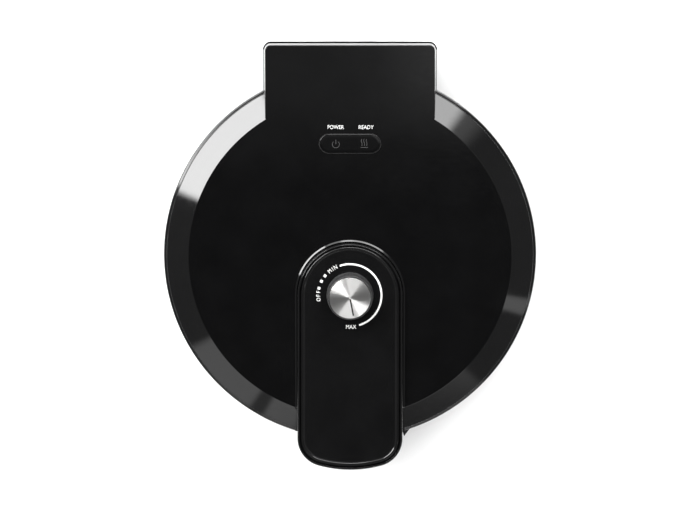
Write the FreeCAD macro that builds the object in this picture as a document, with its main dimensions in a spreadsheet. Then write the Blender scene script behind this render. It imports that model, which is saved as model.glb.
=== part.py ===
"""Electric griddle with two round plates, a hinged lid and a thermostat knob set into the handle.

The origin is on the axis of the round plates at table level. +Z is up, the handle is at -Y and
the hinge housing at +Y. Every length is in millimetres and comes from the sheet called Sizes.
"""
import FreeCAD, Part
import math
import os
import Sketcher

Vector = FreeCAD.Vector

SIZES = {
    # lid cover
    "disc_radius": (146.0, "flat disc on top of the lid"),
    "disc_top": (91.0, "height of the disc"),
    "bevel_radius": (167.2, "outer edge of the sloping ring round the disc"),
    "bevel_bottom": (80.0, "height of that outer edge"),
    "rim_radius": (170.2, "lid rim and base rim"),
    "rim_shoulder": (75.0, "height where the lid's side wall starts"),
    "lid_bottom": (62.0, "lower edge of the lid"),
    "wall": (2.6, "moulded wall"),
    "housing_half_width": (78.1, "hinge housing behind the disc"),
    "housing_rear": (195.5, "rear face of the hinge housing"),
    "housing_corner": (6.5, "rounding of the housing's upright corners"),
    "housing_edge": (1.2, "rounding of the housing's top edge"),
    "boss_circle": (158.0, "screw bosses of lid and base"),
    "boss_radius": (4.0, "outside of a screw boss"),
    "lid_boss_top": (82.4, "where the lid's bosses run into its sloping ring"),
    # hinge
    "hinge_rear": (172.0, "hinge axis behind the origin"),
    "hinge_height": (73.0, "hinge axis above the table"),
    "barrel_radius": (13.1, "hinge barrel"),
    "barrel_half": (66.0, "half length of the hinge barrel"),
    "pin_radius": (4.0, "hinge pin"),
    "pin_half": (72.6, "half length of the hinge pin"),
    "running": (0.05, "radial clearance of a turning shaft"),
    "bush_wall": (1.5, "wall of a hinge bush"),
    "arm_inside": (67.0, "inner face of a hinge arm"),
    "arm_thickness": (3.0, "hinge arm sheet"),
    "arm_eye": (9.5, "eye of a hinge arm"),
    "scoop_radius": (30.5, "hollow that the lid's rear wall swings through"),
    "neck_front": (155.0, "front face of the barrel's neck"),
    "neck_rear": (166.0, "rear face of the barrel's neck"),
    # handle
    "handle_half_width": (48.0, "handle frame"),
    "handle_reach": (195.5, "front tip of the handle"),
    "handle_end_radius": (108.0, "flat curve of the handle's end"),
    "handle_corner": (26.0, "corners of the handle's end"),
    "slot_gap": (0.6, "gap round the handle in the lid"),
    "handle_top": (97.0, "top of the handle frame"),
    "handle_floor": (80.0, "underside of the frame over the disc"),
    "grip_start": (158.0, "where the frame gets deeper"),
    "grip_bottom": (73.0, "underside of the frame at the grip"),
    "grip_cover_start": (171.6, "rear edge of the grip's cover"),
    "grip_cover": (2.5, "thickness of the grip's cover"),
    "frame_edge": (1.2, "rounding of the frame's top edge"),
    "panel_inset": (3.0, "from the frame's outside to the panel"),
    "panel_top": (95.0, "height of the panel"),
    "panel_thickness": (3.0, "panel"),
    "ledge": (2.4, "ledge that holds the panel"),
    "frame_floor": (2.0, "floor of the frame"),
    # knob and thermostat
    "knob_front": (34.3, "knob axis in front of the origin"),
    "knob_bottom": (96.0, "lower edge of the knob"),
    "knob_radius": (21.3, "knob at its lower edge"),
    "knob_top_radius": (20.2, "knob at its upper edge"),
    "knob_top": (113.0, "upper edge of the knob's skirt"),
    "knob_wall": (2.9, "skirt of the knob"),
    "cap_radius": (18.5, "metal cap of the knob"),
    "cap_top": (114.6, "top of the metal cap"),
    "cap_thickness": (2.4, "metal cap"),
    "pointer_length": (15.6, "black line on the cap"),
    "pointer_width": (1.3, "width of that line"),
    "pointer_depth": (0.6, "depth of that line in the cap"),
    "pointer_start": (0.6, "where the line starts, from the knob's axis"),
    "pointer_turn": (-79.0, "where the line points, from +X"),
    "shaft_radius": (3.0, "thermostat shaft"),
    "shaft_bottom": (76.0, "lower end of the thermostat shaft"),
    "shaft_top": (108.3, "upper end of the thermostat shaft"),
    "thermostat_length": (28.0, "thermostat block"),
    "thermostat_width": (24.0, "thermostat block"),
    "thermostat_top": (79.0, "top of the thermostat block"),
    "thermostat_bush": (5.0, "threaded bush of the thermostat"),
    # indicator window
    "window_rear": (103.6, "window behind the origin"),
    "window_length": (56.0, "window opening"),
    "window_width": (17.9, "window opening"),
    "lens_gap": (0.2, "gap round the lens"),
    "led_offset": (12.8, "lamps left and right of the middle"),
    "board_top": (81.2, "top of the lamp board"),
    "board_thickness": (1.6, "lamp board"),
    # plates and heaters
    "upper_face": (59.2, "cooking face of the upper plate"),
    "plate_thickness": (4.2, "cast plate"),
    "upper_flange": (66.0, "underside of the upper plate's flange"),
    "flange_thickness": (2.0, "plate flange"),
    "flange_radius": (153.5, "plate flange"),
    "plate_radius": (149.0, "upper plate under its flange"),
    "ring_radius": (167.0, "outside of the two inner rings"),
    "upper_ring_bottom": (63.5, "lid's inner ring"),
    "lower_face": (48.5, "cooking face of the lower plate"),
    "pan_radius": (144.0, "lower plate's face"),
    "pan_top": (58.6, "rim of the lower plate"),
    "lower_ring_bottom": (54.1, "base's inner ring"),
    "heater_circle": (105.0, "middle of the heater tubes"),
    "heater_tube": (3.5, "heater tube"),
    "heater_gap": (30.0, "open angle of a heater tube"),
    "terminal_length": (22.0, "cold end of a heater tube"),
    "terminal_radius": (2.2, "cold end of a heater tube"),
    "shield_radius": (138.0, "heat shields"),
    "shield_sheet": (0.5, "heat shield sheet"),
    "shield_depth": (8.8, "skirt of a heat shield"),
    "upper_shield_top": (78.8, "top of the upper heat shield"),
    "lower_shield_bottom": (29.6, "underside of the lower heat shield"),
    # base
    "base_top": (61.2, "upper edge of the base"),
    "base_bottom": (8.0, "underside of the base shell"),
    "base_foot_radius": (132.0, "base shell at its underside"),
    "base_wall_radius": (163.0, "base shell where its rim starts"),
    "base_wall_top": (48.0, "height there"),
    "base_rim_bottom": (53.0, "lower edge of the base's upright rim"),
    "floor_opening": (102.0, "opening in the base's floor"),
    "cover_radius": (109.0, "bottom cover"),
    "cover_screw_circle": (105.5, "screws of the bottom cover"),
    "cover_sheet": (1.0, "bottom cover"),
    "block_half_width": (73.0, "rear block of the base"),
    "block_rear": (190.0, "rear face of the rear block"),
    "foot_radius": (8.5, "rubber foot at the table"),
    "foot_flare": (1.5, "how much wider a foot is at its top"),
    "front_foot_side": (72.0, "front feet left and right"),
    "front_foot_front": (96.0, "front feet in front of the origin"),
    "rear_foot_side": (58.0, "rear feet left and right"),
    "rear_foot_rear": (174.0, "rear feet behind the origin"),
    "base_grip_half_width": (45.0, "lower handle"),
    "base_grip_reach": (189.5, "front of the lower handle"),
    "base_grip_bottom": (33.0, "underside of the lower handle"),
    "base_grip_top": (45.0, "top of the lower handle"),
    # power inlet
    "inlet_height": (28.0, "middle of the inlet"),
    "inlet_width": (27.0, "inlet body"),
    "inlet_body_height": (20.0, "inlet body"),
    "inlet_depth": (22.0, "inlet body behind its flange"),
    "socket_width": (24.6, "hollow for the connector"),
    "socket_height": (16.6, "hollow for the connector"),
    "socket_depth": (17.0, "hollow for the connector"),
    "inlet_flange_width": (50.0, "inlet flange"),
    "inlet_flange_height": (24.0, "inlet flange"),
    "inlet_flange": (2.4, "thickness of the inlet flange"),
    "blade_spacing": (7.0, "contact blades"),
    "blade_length": (14.0, "contact blades"),
    # plate release tab
    "tab_bottom": (48.5, "underside of the release tab"),
    "tab_thickness": (3.0, "release tab"),
    "tab_gap": (0.4, "gap over and under the tab in the shell"),
    "tab_tip_side": (50.3, "pointed end of the tab, right of the handle"),
    "tab_tip_front": (172.4, "pointed end of the tab, in front of the origin"),
    "screw_hole": (1.6, "clearance hole of a screw"),
    "pilot_hole": (1.5, "screw hole in a boss"),
}

doc = FreeCAD.newDocument("Griddle")


class Dim:
    """A size worked out from the sheet, held as an expression and as its present value."""

    def __init__(self, text, value):
        self.text = text
        self.value = float(value)

    def __add__(self, other):
        other = dim(other)
        return Dim(f"({self.text} + {other.text})", self.value + other.value)

    def __sub__(self, other):
        other = dim(other)
        return Dim(f"({self.text} - {other.text})", self.value - other.value)

    def __mul__(self, other):
        other = dim(other)
        return Dim(f"({self.text} * {other.text})", self.value * other.value)

    def __truediv__(self, other):
        other = dim(other)
        return Dim(f"({self.text} / {other.text})", self.value / other.value)

    def __radd__(self, other):
        return dim(other) + self

    def __rsub__(self, other):
        return dim(other) - self

    def __rmul__(self, other):
        return dim(other) * self

    def __neg__(self):
        return Dim(f"(-1 * {self.text})", -self.value)


def dim(size):
    """A plain number as a Dim; a Dim stays as it is."""
    return size if isinstance(size, Dim) else Dim(f"({float(size)})", size)


def root(size):
    """Square root of a Dim."""
    return Dim(f"sqrt({size.text})", math.sqrt(size.value))


class Sheet:
    """The spreadsheet of driving sizes; each alias reads as a Dim."""

    def __init__(self):
        self.cells = doc.addObject("Spreadsheet::Sheet", "Sizes")
        for row, (alias, (value, meaning)) in enumerate(SIZES.items(), start=1):
            self.cells.set(f"A{row}", meaning)
            self.cells.set(f"B{row}", str(value))
            self.cells.setAlias(f"B{row}", alias)
        doc.recompute()

    def __getattr__(self, alias):
        return Dim(f"Sizes.{alias}", SIZES[alias][0])


d = Sheet()


def bind(item, name, size):
    """Set a property to a size and tie it to the sheet."""
    size = dim(size)
    if "." not in name:
        setattr(item, name, size.value)
    item.setExpression(name, size.text)


def place(item, x=0, y=0, z=0, axis=(0, 0, 1), turn=0):
    """Place an object; its position follows the sheet and its turn is fixed, in degrees."""
    item.Placement = FreeCAD.Placement(Vector(), FreeCAD.Rotation(Vector(*axis), turn))
    for letter, size in zip("xyz", (x, y, z)):
        item.setExpression(f"Placement.Base.{letter}", dim(size).text)


# ---- Part primitives and booleans ----------------------------------------------------------

def make_box(name, low, high):
    """Box between two corners."""
    item = doc.addObject("Part::Box", name)
    for side, a, b in zip(("Length", "Width", "Height"), low, high):
        bind(item, side, dim(b) - dim(a))
    place(item, *low)
    return item


TURNS = {"X": ((0, 1, 0), 90), "Y": ((1, 0, 0), -90), "Z": ((0, 0, 1), 0)}


def make_cylinder(name, radius, length, start, direction="Z"):
    """Cylinder from a start point along +X, +Y or +Z."""
    item = doc.addObject("Part::Cylinder", name)
    bind(item, "Radius", radius)
    bind(item, "Height", length)
    axis, turn = TURNS[direction]
    place(item, *start, axis=axis, turn=turn)
    return item


def join(label, *items):
    """One solid out of several that touch."""
    item = doc.addObject("Part::MultiFuse", label)
    item.Shapes = list(items)
    return item


def cut(label, base, tool):
    """Base less tool."""
    item = doc.addObject("Part::Cut", label)
    item.Base = base
    item.Tool = tool
    return item


def group(label, *items):
    """Separate solids kept together as one sub-part, such as a set of screws."""
    item = doc.addObject("Part::Compound", label)
    item.Links = list(items)
    return item


# ---- sketches ------------------------------------------------------------------------------

class Profile:
    """One sketch of a body. Its points and radii are tied to the sheet."""

    def __init__(self, body, name, plane, level=0):
        self.sketch = body.newObject("Sketcher::SketchObject", name)
        support = next(f for f in body.Origin.OriginFeatures if f.Role == plane)
        self.sketch.AttachmentSupport = [(support, "")]
        self.sketch.MapMode = "FlatFace"
        level = dim(level)
        self.sketch.AttachmentOffset = FreeCAD.Placement(Vector(0, 0, level.value), FreeCAD.Rotation())
        self.sketch.setExpression("AttachmentOffset.Base.z", level.text)

    def tie(self, kind, *where, size):
        """Add a dimension and bind it to a size."""
        number = self.sketch.addConstraint(Sketcher.Constraint(kind, *where, size.value))
        self.sketch.setExpression(f"Constraints[{number}]", size.text)

    def pin_point(self, piece, end, x=None, y=None):
        """Fix a point's distances from the sketch's two axes."""
        for kind, size, axis in (("DistanceX", x, -2), ("DistanceY", y, -1)):
            if size is None:
                continue
            size = dim(size)
            if size.value == 0:
                self.sketch.addConstraint(Sketcher.Constraint("PointOnObject", piece, end, axis))
            else:
                self.tie(kind, -1, 1, piece, end, size=size)

    def chain(self, pieces):
        """Close a ring of lines and arcs, each given so that its end is the next one's start."""
        first = self.sketch.GeometryCount
        self.sketch.addGeometry([piece for piece, _, _ in pieces], False)
        for i, (_, _, end) in enumerate(pieces):
            follower = (i + 1) % len(pieces)
            start = pieces[follower][1]
            self.sketch.addConstraint(
                Sketcher.Constraint("Coincident", first + i, end, first + follower, start))
        return first

    def polygon(self, points):
        """Closed outline with straight sides."""
        points = [(dim(x), dim(y)) for x, y in points]
        corners = [Vector(x.value, y.value, 0) for x, y in points]
        sides = [Part.LineSegment(a, b) for a, b in zip(corners, corners[1:] + corners[:1])]
        first = self.chain([(side, 1, 2) for side in sides])
        for i, (x, y) in enumerate(points):
            self.pin_point(first + i, 1, x, y)
        return self

    def rectangle(self, x_low, x_high, y_low, y_high):
        """Upright rectangle."""
        return self.polygon([(x_low, y_low), (x_high, y_low), (x_high, y_high), (x_low, y_high)])

    def circle(self, x, y, radius):
        """Full circle."""
        x, y, radius = dim(x), dim(y), dim(radius)
        piece = self.sketch.addGeometry(
            Part.Circle(Vector(x.value, y.value, 0), Vector(0, 0, 1), radius.value), False)
        self.tie("Radius", piece, size=radius)
        self.pin_point(piece, 3, x, y)
        return self

    def arc(self, x, y, radius, start, end):
        """Arc of a circle, anticlockwise from start to end, in degrees."""
        circle = Part.Circle(Vector(x, y, 0), Vector(0, 0, 1), radius)
        return Part.ArcOfCircle(circle, math.radians(start), math.radians(end))

    def tangent(self, *joints):
        """Make neighbours run smoothly into each other."""
        for one, one_end, other, other_end in joints:
            self.sketch.addConstraint(
                Sketcher.Constraint("Tangent", one, one_end, other, other_end))

    def stadium(self, y, length, width):
        """Slot with round ends, lying along X."""
        y, length, width = dim(y), dim(length), dim(width)
        radius = width / 2
        side = length / 2 - radius
        s, r, m = side.value, radius.value, y.value
        self.sketch.addGeometry([
            Part.LineSegment(Vector(-s, m - r, 0), Vector(s, m - r, 0)),
            self.arc(s, m, r, -90, 90),
            Part.LineSegment(Vector(s, m + r, 0), Vector(-s, m + r, 0)),
            self.arc(-s, m, r, 90, 270)], False)
        self.tangent((0, 2, 1, 1), (1, 2, 2, 1), (2, 2, 3, 1), (3, 2, 0, 1))
        self.tie("Radius", 1, size=radius)
        self.pin_point(1, 3, side, y)
        self.pin_point(3, 3, -side, y)
        return self

    def handle(self, inset=0):
        """Handle outline: round rear end, straight sides, two corners and a gently curved tip.

        The centre of a corner lies where a circle of end radius less corner radius, drawn
        round the centre of the tip's curve, crosses the line one corner radius inside the side.
        """
        half = d.handle_half_width - inset
        tip = d.handle_end_radius - inset
        corner = d.handle_corner - inset
        tip_centre = d.handle_end_radius - d.handle_reach
        w, re, rc, ye, yk = (s.value for s in (half, tip, corner, tip_centre, -d.knob_front))
        yc = ye - math.sqrt((re - rc) ** 2 - (w - rc) ** 2)
        lean = math.degrees(math.atan2(ye - yc, w - rc))
        self.sketch.addGeometry([
            Part.LineSegment(Vector(w, yc, 0), Vector(w, yk, 0)),
            self.arc(0, yk, w, 0, 180),
            Part.LineSegment(Vector(-w, yk, 0), Vector(-w, yc, 0)),
            self.arc(-(w - rc), yc, rc, 180, 180 + lean),
            self.arc(0, ye, re, 180 + lean, 360 - lean),
            self.arc(w - rc, yc, rc, 360 - lean, 360)], False)
        self.tangent((0, 2, 1, 1), (1, 2, 2, 1), (2, 2, 3, 1), (3, 2, 4, 1), (4, 2, 5, 1),
                     (5, 2, 0, 1))
        self.tie("Radius", 1, size=half)
        self.pin_point(1, 3, 0, -d.knob_front)
        self.tie("Radius", 3, size=corner)
        self.tie("Radius", 5, size=corner)
        self.tie("Radius", 4, size=tip)
        self.pin_point(4, 3, 0, tip_centre)
        self.sketch.addConstraint(Sketcher.Constraint("Vertical", 0))
        return self

    def bay(self, front, rear, radius, top):
        """Area over an arc round the hinge axis, between two upright lines, in the YZ plane."""
        front, rear, radius = dim(front), dim(rear), dim(radius)
        f, r, rad, up = (s.value for s in (front, rear, radius, top))
        yh, zh = d.hinge_rear.value, d.hinge_height.value
        zf = zh - math.sqrt(rad ** 2 - (f - yh) ** 2)
        zr = zh - math.sqrt(rad ** 2 - (r - yh) ** 2)
        turn = [math.degrees(math.atan2(z - zh, y - yh)) for y, z in ((f, zf), (r, zr))]
        first = self.chain([
            (Part.LineSegment(Vector(f, up, 0), Vector(f, zf, 0)), 1, 2),
            (self.arc(yh, zh, rad, *turn), 1, 2),
            (Part.LineSegment(Vector(r, zr, 0), Vector(r, up, 0)), 1, 2),
            (Part.LineSegment(Vector(r, up, 0), Vector(f, up, 0)), 1, 2)])
        self.pin_point(first, 1, front, top)
        self.pin_point(first, 2, front)
        self.tie("Radius", first + 1, size=radius)
        self.pin_point(first + 1, 3, d.hinge_rear, d.hinge_height)
        self.pin_point(first + 2, 1, rear)
        self.pin_point(first + 2, 2, rear, top)
        return self


# ---- features of a body --------------------------------------------------------------------

def new_body(label):
    """Empty body named after its sub-part."""
    return doc.addObject("PartDesign::Body", label)


def feature(body, kind, profile, grows, **settings):
    """Add a sketch-based feature and make sure that it changes the volume the right way."""
    before = 0 if body.Tip is None or not body.Shape.Solids else body.Shape.Volume
    item = body.newObject(f"PartDesign::{kind}", f"{body.Label}_{kind}")
    item.Profile = profile.sketch
    for name, value in settings.items():
        if isinstance(value, Dim):
            bind(item, name, value)
        else:
            setattr(item, name, value)
    doc.recompute()
    change = body.Shape.Volume - before
    if change * (1 if grows else -1) <= 0:
        raise RuntimeError(f"{body.Label}: {kind} changed the volume by {change:.1f} mm3")
    return item


def pad(body, profile, length, both=False):
    """Add material along the sketch's normal, or to both sides of it."""
    sides = {"SideType": "Symmetric"} if both else {}
    return feature(body, "Pad", profile, True, Length=dim(length), **sides)


def pocket(body, profile, depth, both=False, up=False):
    """Cut against the sketch's normal, along it, or to both sides of it."""
    sides = {"SideType": "Symmetric"} if both else {"Reversed": up}
    return feature(body, "Pocket", profile, False, Length=dim(depth), **sides)


def revolve(body, profile):
    """Turn a sketch round its upright axis into a solid."""
    axis = (profile.sketch, ["V_Axis"])
    return feature(body, "Revolution", profile, True, ReferenceAxis=axis, Angle=360)


def groove(body, profile):
    """Turn a sketch round its upright axis and cut that away."""
    axis = (profile.sketch, ["V_Axis"])
    return feature(body, "Groove", profile, False, ReferenceAxis=axis, Angle=360)


def round_edges(body, radius, test):
    """Round the edges that pass a test on their lowest and highest corners."""
    names = []
    for number, edge in enumerate(body.Shape.Edges, start=1):
        box = edge.BoundBox
        if test((box.XMin, box.YMin, box.ZMin), (box.XMax, box.YMax, box.ZMax)):
            names.append(f"Edge{number}")
    if not names:
        raise RuntimeError(f"{body.Label}: no edge to round")
    base = body.Tip
    item = body.newObject("PartDesign::Fillet", f"{body.Label}_Fillet")
    item.Base = (base, names)
    bind(item, "Radius", dim(radius))
    doc.recompute()
    return item


def close(a, b, within=0.02):
    """Whether two numbers are the same."""
    return abs(a - b) < within


def turned(label, points, front=0):
    """Body turned from one profile of radius and height, round an axis that may lie forward."""
    body = new_body(label)
    revolve(body, Profile(body, f"{label}_profile", "XZ_Plane", front).polygon(points))
    return body


DIAGONALS = (45, 135, 225, 315)
QUARTERS = (0, 90, 180, 270)


def on_circle(radius, angle):
    """X and Y of a point on a circle round the origin."""
    angle = math.radians(angle)
    return radius * math.cos(angle), radius * math.sin(angle)


# ---- lid -----------------------------------------------------------------------------------

def lid_cover():
    """Gloss cover: disc, sloping ring, side wall and hinge housing, with slot and window."""
    body = new_body("lid_cover")
    revolve(body, Profile(body, "outer_form", "XZ_Plane").polygon([
        (0, d.lid_bottom), (d.rim_radius, d.lid_bottom), (d.rim_radius, d.rim_shoulder),
        (d.bevel_radius, d.bevel_bottom), (d.disc_radius, d.disc_top), (0, d.disc_top)]))
    pad(body, Profile(body, "housing_form", "XY_Plane", d.lid_bottom).rectangle(
        -d.housing_half_width, d.housing_half_width, d.disc_radius / 2, d.housing_rear),
        d.disc_top - d.lid_bottom)
    rear, half = d.housing_rear.value, d.housing_half_width.value
    round_edges(body, d.housing_corner, lambda low, high: close(low[1], rear) and close(
        low[0], high[0]) and close(abs(low[0]), half))
    top = d.disc_top.value
    round_edges(body, d.housing_edge, lambda low, high: close(low[2], top) and close(
        high[1], rear) and close(high[0] - low[0], 2 * (half - d.housing_corner.value)))
    ceiling = d.disc_top - d.wall
    slope = (d.disc_top - d.bevel_bottom) / (d.bevel_radius - d.disc_radius)
    inner_wall = d.rim_radius - d.wall
    groove(body, Profile(body, "inner_form", "XZ_Plane").polygon([
        (0, d.lid_bottom), (inner_wall, d.lid_bottom), (inner_wall, d.rim_shoulder - 1),
        (d.bevel_radius - 1.6, d.bevel_bottom - d.wall * 0.85),
        (d.disc_radius - d.wall * slope / 2, ceiling), (0, ceiling)]))
    inside = d.housing_half_width - d.wall
    pocket(body, Profile(body, "housing_hollow", "XY_Plane", d.lid_bottom).rectangle(
        -inside, inside, d.disc_radius / 2, d.housing_rear - d.wall),
        ceiling - d.lid_bottom, up=True)
    pocket(body, Profile(body, "rear_wall_edge", "XY_Plane", d.lid_bottom).rectangle(
        -d.housing_half_width - 1, d.housing_half_width + 1, d.housing_rear - d.housing_corner,
        d.housing_rear + 1), d.hinge_height - d.lid_bottom, up=True)
    slot = d.handle_half_width + d.slot_gap
    slot_depth = d.disc_top - d.grip_bottom
    pocket(body, Profile(body, "handle_slot", "XY_Plane", d.disc_top).rectangle(
        -slot, slot, -d.rim_radius - 1, -d.knob_front), slot_depth)
    pocket(body, Profile(body, "handle_slot_end", "XY_Plane", d.disc_top).circle(
        0, -d.knob_front, slot), slot_depth)
    pocket(body, Profile(body, "window", "XY_Plane", d.disc_top).stadium(
        d.window_rear, d.window_length, d.window_width), d.wall)
    for number, angle in enumerate(DIAGONALS):
        x, y = on_circle(d.boss_circle, angle)
        pad(body, Profile(body, f"boss{number}", "XY_Plane", d.upper_flange).circle(
            x, y, d.boss_radius), d.lid_boss_top - d.upper_flange)
        pocket(body, Profile(body, f"boss_hole{number}", "XY_Plane", d.upper_flange).circle(
            x, y, d.pilot_hole), 12, up=True)


def inner_ring(label, bottom, inner_radius, rear_edge, hole_circle):
    """Ring that fills the space between a plate and the rim, open at the rear for the hinge."""
    thickness = 2.5
    body = turned(label, [
        (inner_radius, bottom), (d.ring_radius, bottom), (d.ring_radius, bottom + thickness),
        (inner_radius, bottom + thickness)])
    open_half = d.housing_half_width - d.wall
    pocket(body, Profile(body, f"{label}_opening", "XY_Plane", bottom).rectangle(
        -open_half, open_half, rear_edge, d.rim_radius), thickness, up=True)
    holes = Profile(body, f"{label}_holes", "XY_Plane", bottom)
    for angle in DIAGONALS:
        x, y = on_circle(hole_circle, angle)
        holes.circle(x, y, d.screw_hole)
    pocket(body, holes, thickness, up=True)
    return body


def upper_plate():
    """Cast plate of the lid, a flat face with an upstanding wall and a flange."""
    top = d.upper_face + d.plate_thickness
    flange_top = d.upper_flange + d.flange_thickness
    turned("upper_plate", [
        (0, d.upper_face), (d.plate_radius - 3, d.upper_face), (d.plate_radius, d.upper_face + 2),
        (d.plate_radius, d.upper_flange), (d.flange_radius, d.upper_flange),
        (d.flange_radius, flange_top), (d.plate_radius - 4, flange_top),
        (d.plate_radius - 4, top), (0, top)])


def lower_plate():
    """Cast plate of the base, a shallow pan."""
    under = d.lower_face - d.plate_thickness
    turned("lower_plate", [
        (0, under), (d.pan_radius + 3, under), (d.pan_radius + 5, d.lower_face),
        (d.pan_radius + 6.5, d.pan_top - d.flange_thickness),
        (d.flange_radius, d.pan_top - d.flange_thickness), (d.flange_radius, d.pan_top),
        (d.pan_radius + 3.5, d.pan_top), (d.pan_radius, d.lower_face), (0, d.lower_face)])


def heater(label, height):
    """Tubular heater: most of a ring, with two cold ends that point outwards at the rear."""
    tube = doc.addObject("Part::Torus", f"{label}_tube")
    bind(tube, "Radius1", d.heater_circle)
    bind(tube, "Radius2", d.heater_tube)
    bind(tube, "Angle3", 360 - d.heater_gap)
    place(tube, z=height, turn=90 + SIZES["heater_gap"][0] / 2)
    ends = []
    for side, angle in (("left", 105), ("right", 75)):
        x, y = on_circle(d.heater_circle, angle)
        end = doc.addObject("Part::Cylinder", f"{label}_end_{side}")
        bind(end, "Radius", d.terminal_radius)
        bind(end, "Height", d.terminal_length)
        rotation = FreeCAD.Rotation(Vector(0, 0, 1), Vector(*on_circle(1, angle), 0))
        place(end, x, y, height, axis=rotation.Axis, turn=math.degrees(rotation.Angle))
        ends.append(end)
    join(label, tube, *ends)


def heat_shield(label, flat, skirt_end, opening=None):
    """Sheet-metal dish between a heater and the shell."""
    up = 1 if skirt_end.value > flat.value else -1
    sheet = d.shield_sheet * up
    body = turned(label, [
        (0, flat), (d.shield_radius, flat), (d.shield_radius, skirt_end),
        (d.shield_radius - d.shield_sheet, skirt_end),
        (d.shield_radius - d.shield_sheet, flat + sheet), (0, flat + sheet)])
    if opening is not None:
        pocket(body, Profile(body, f"{label}_opening", "XY_Plane", flat).circle(
            0, -d.knob_front, opening), d.shield_sheet)
    return body


def fuse(label, x, y, height):
    """Thermal fuse in its clip, lying against a plate."""
    length = 14
    capsule = make_cylinder(f"{label}_capsule", 2.2, length, (x, y, height), "X")
    clip = make_box(f"{label}_clip", (x + 4, y - 6, height - 2.2), (x + 10, y + 6, height + 2.2))
    join(label, capsule, clip)


def thermostat():
    """Thermostat block with a threaded bush, its bracket and its nut."""
    y = -d.knob_front
    plate_top = d.upper_face + d.plate_thickness
    block = make_box("thermostat_block", (
        -d.thermostat_length / 2, y - d.thermostat_width / 2, plate_top), (
        d.thermostat_length / 2, y + d.thermostat_width / 2, d.thermostat_top))
    bush = make_cylinder("thermostat_neck", d.thermostat_bush, 12, (0, y, d.thermostat_top))
    bore_start = d.shaft_bottom - 0.3
    bore = make_cylinder("thermostat_bore", d.shaft_radius + d.running, 20, (0, y, bore_start))
    cut("thermostat_body", join("thermostat_solid", block, bush), bore)
    hole = d.thermostat_bush + 0.3
    strap = make_box("bracket_strap", (-24, y - 9, d.thermostat_top),
                     (24, y + 9, d.handle_floor))
    strap_hole = make_cylinder("bracket_hole", hole, 3, (0, y, d.thermostat_top - 1))
    cut("thermostat_bracket", strap, strap_hole)
    nut = doc.addObject("Part::Prism", "nut_blank")
    nut.Polygon = 6
    bind(nut, "Circumradius", d.thermostat_bush + 3.2)
    nut.Height = 3.5
    nut_bottom = d.handle_floor + d.frame_floor
    place(nut, 0, y, nut_bottom)
    nut_hole = make_cylinder("nut_hole", d.thermostat_bush + 0.1, 6, (0, y, nut_bottom - 1))
    cut("thermostat_nut", nut, nut_hole)


def indicator():
    """Lens in the window, light baffle, board and the two lamps under it."""
    lens = new_body("indicator_lens")
    pad(lens, Profile(lens, "lens_face", "XY_Plane", d.disc_top - d.wall).stadium(
        d.window_rear, d.window_length - 2 * d.lens_gap, d.window_width - 2 * d.lens_gap),
        d.wall)
    pad(lens, Profile(lens, "lens_flange", "XY_Plane", d.disc_top - d.wall - 1).stadium(
        d.window_rear, d.window_length + 4, d.window_width + 4), 1)
    flange_bottom = d.disc_top - d.wall - 1
    baffle = new_body("indicator_baffle")
    pad(baffle, Profile(baffle, "baffle_block", "XY_Plane", d.board_top).rectangle(
        -25, 25, d.window_rear - 8, d.window_rear + 8), flange_bottom - d.board_top)
    wells = Profile(baffle, "baffle_wells", "XY_Plane", d.board_top)
    for side in (-1, 1):
        wells.circle(side * d.led_offset, d.window_rear, 6.5)
    pocket(baffle, wells, flange_bottom - d.board_top, up=True)
    make_box("indicator_board", (-30, d.window_rear - 12, d.board_top - d.board_thickness),
             (30, d.window_rear + 12, d.board_top))
    for label, side in (("power_led", -1), ("ready_led", 1)):
        stem = make_cylinder(f"{label}_stem", 2.5, 3.4,
                             (side * d.led_offset, d.window_rear, d.board_top))
        dome = doc.addObject("Part::Sphere", f"{label}_dome")
        dome.Radius = 2.5
        place(dome, side * d.led_offset, d.window_rear, d.board_top + 3.4)
        join(label, stem, dome)


# ---- handle --------------------------------------------------------------------------------

def clear_rear(body, bottom, start, depth):
    """Cut the lower part of a handle piece away behind a line across the handle."""
    wide = d.handle_half_width + 1
    pocket(body, Profile(body, "rear_clearance", "XY_Plane", bottom).rectangle(
        -wide, wide, -start, wide), depth, up=True)


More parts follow.
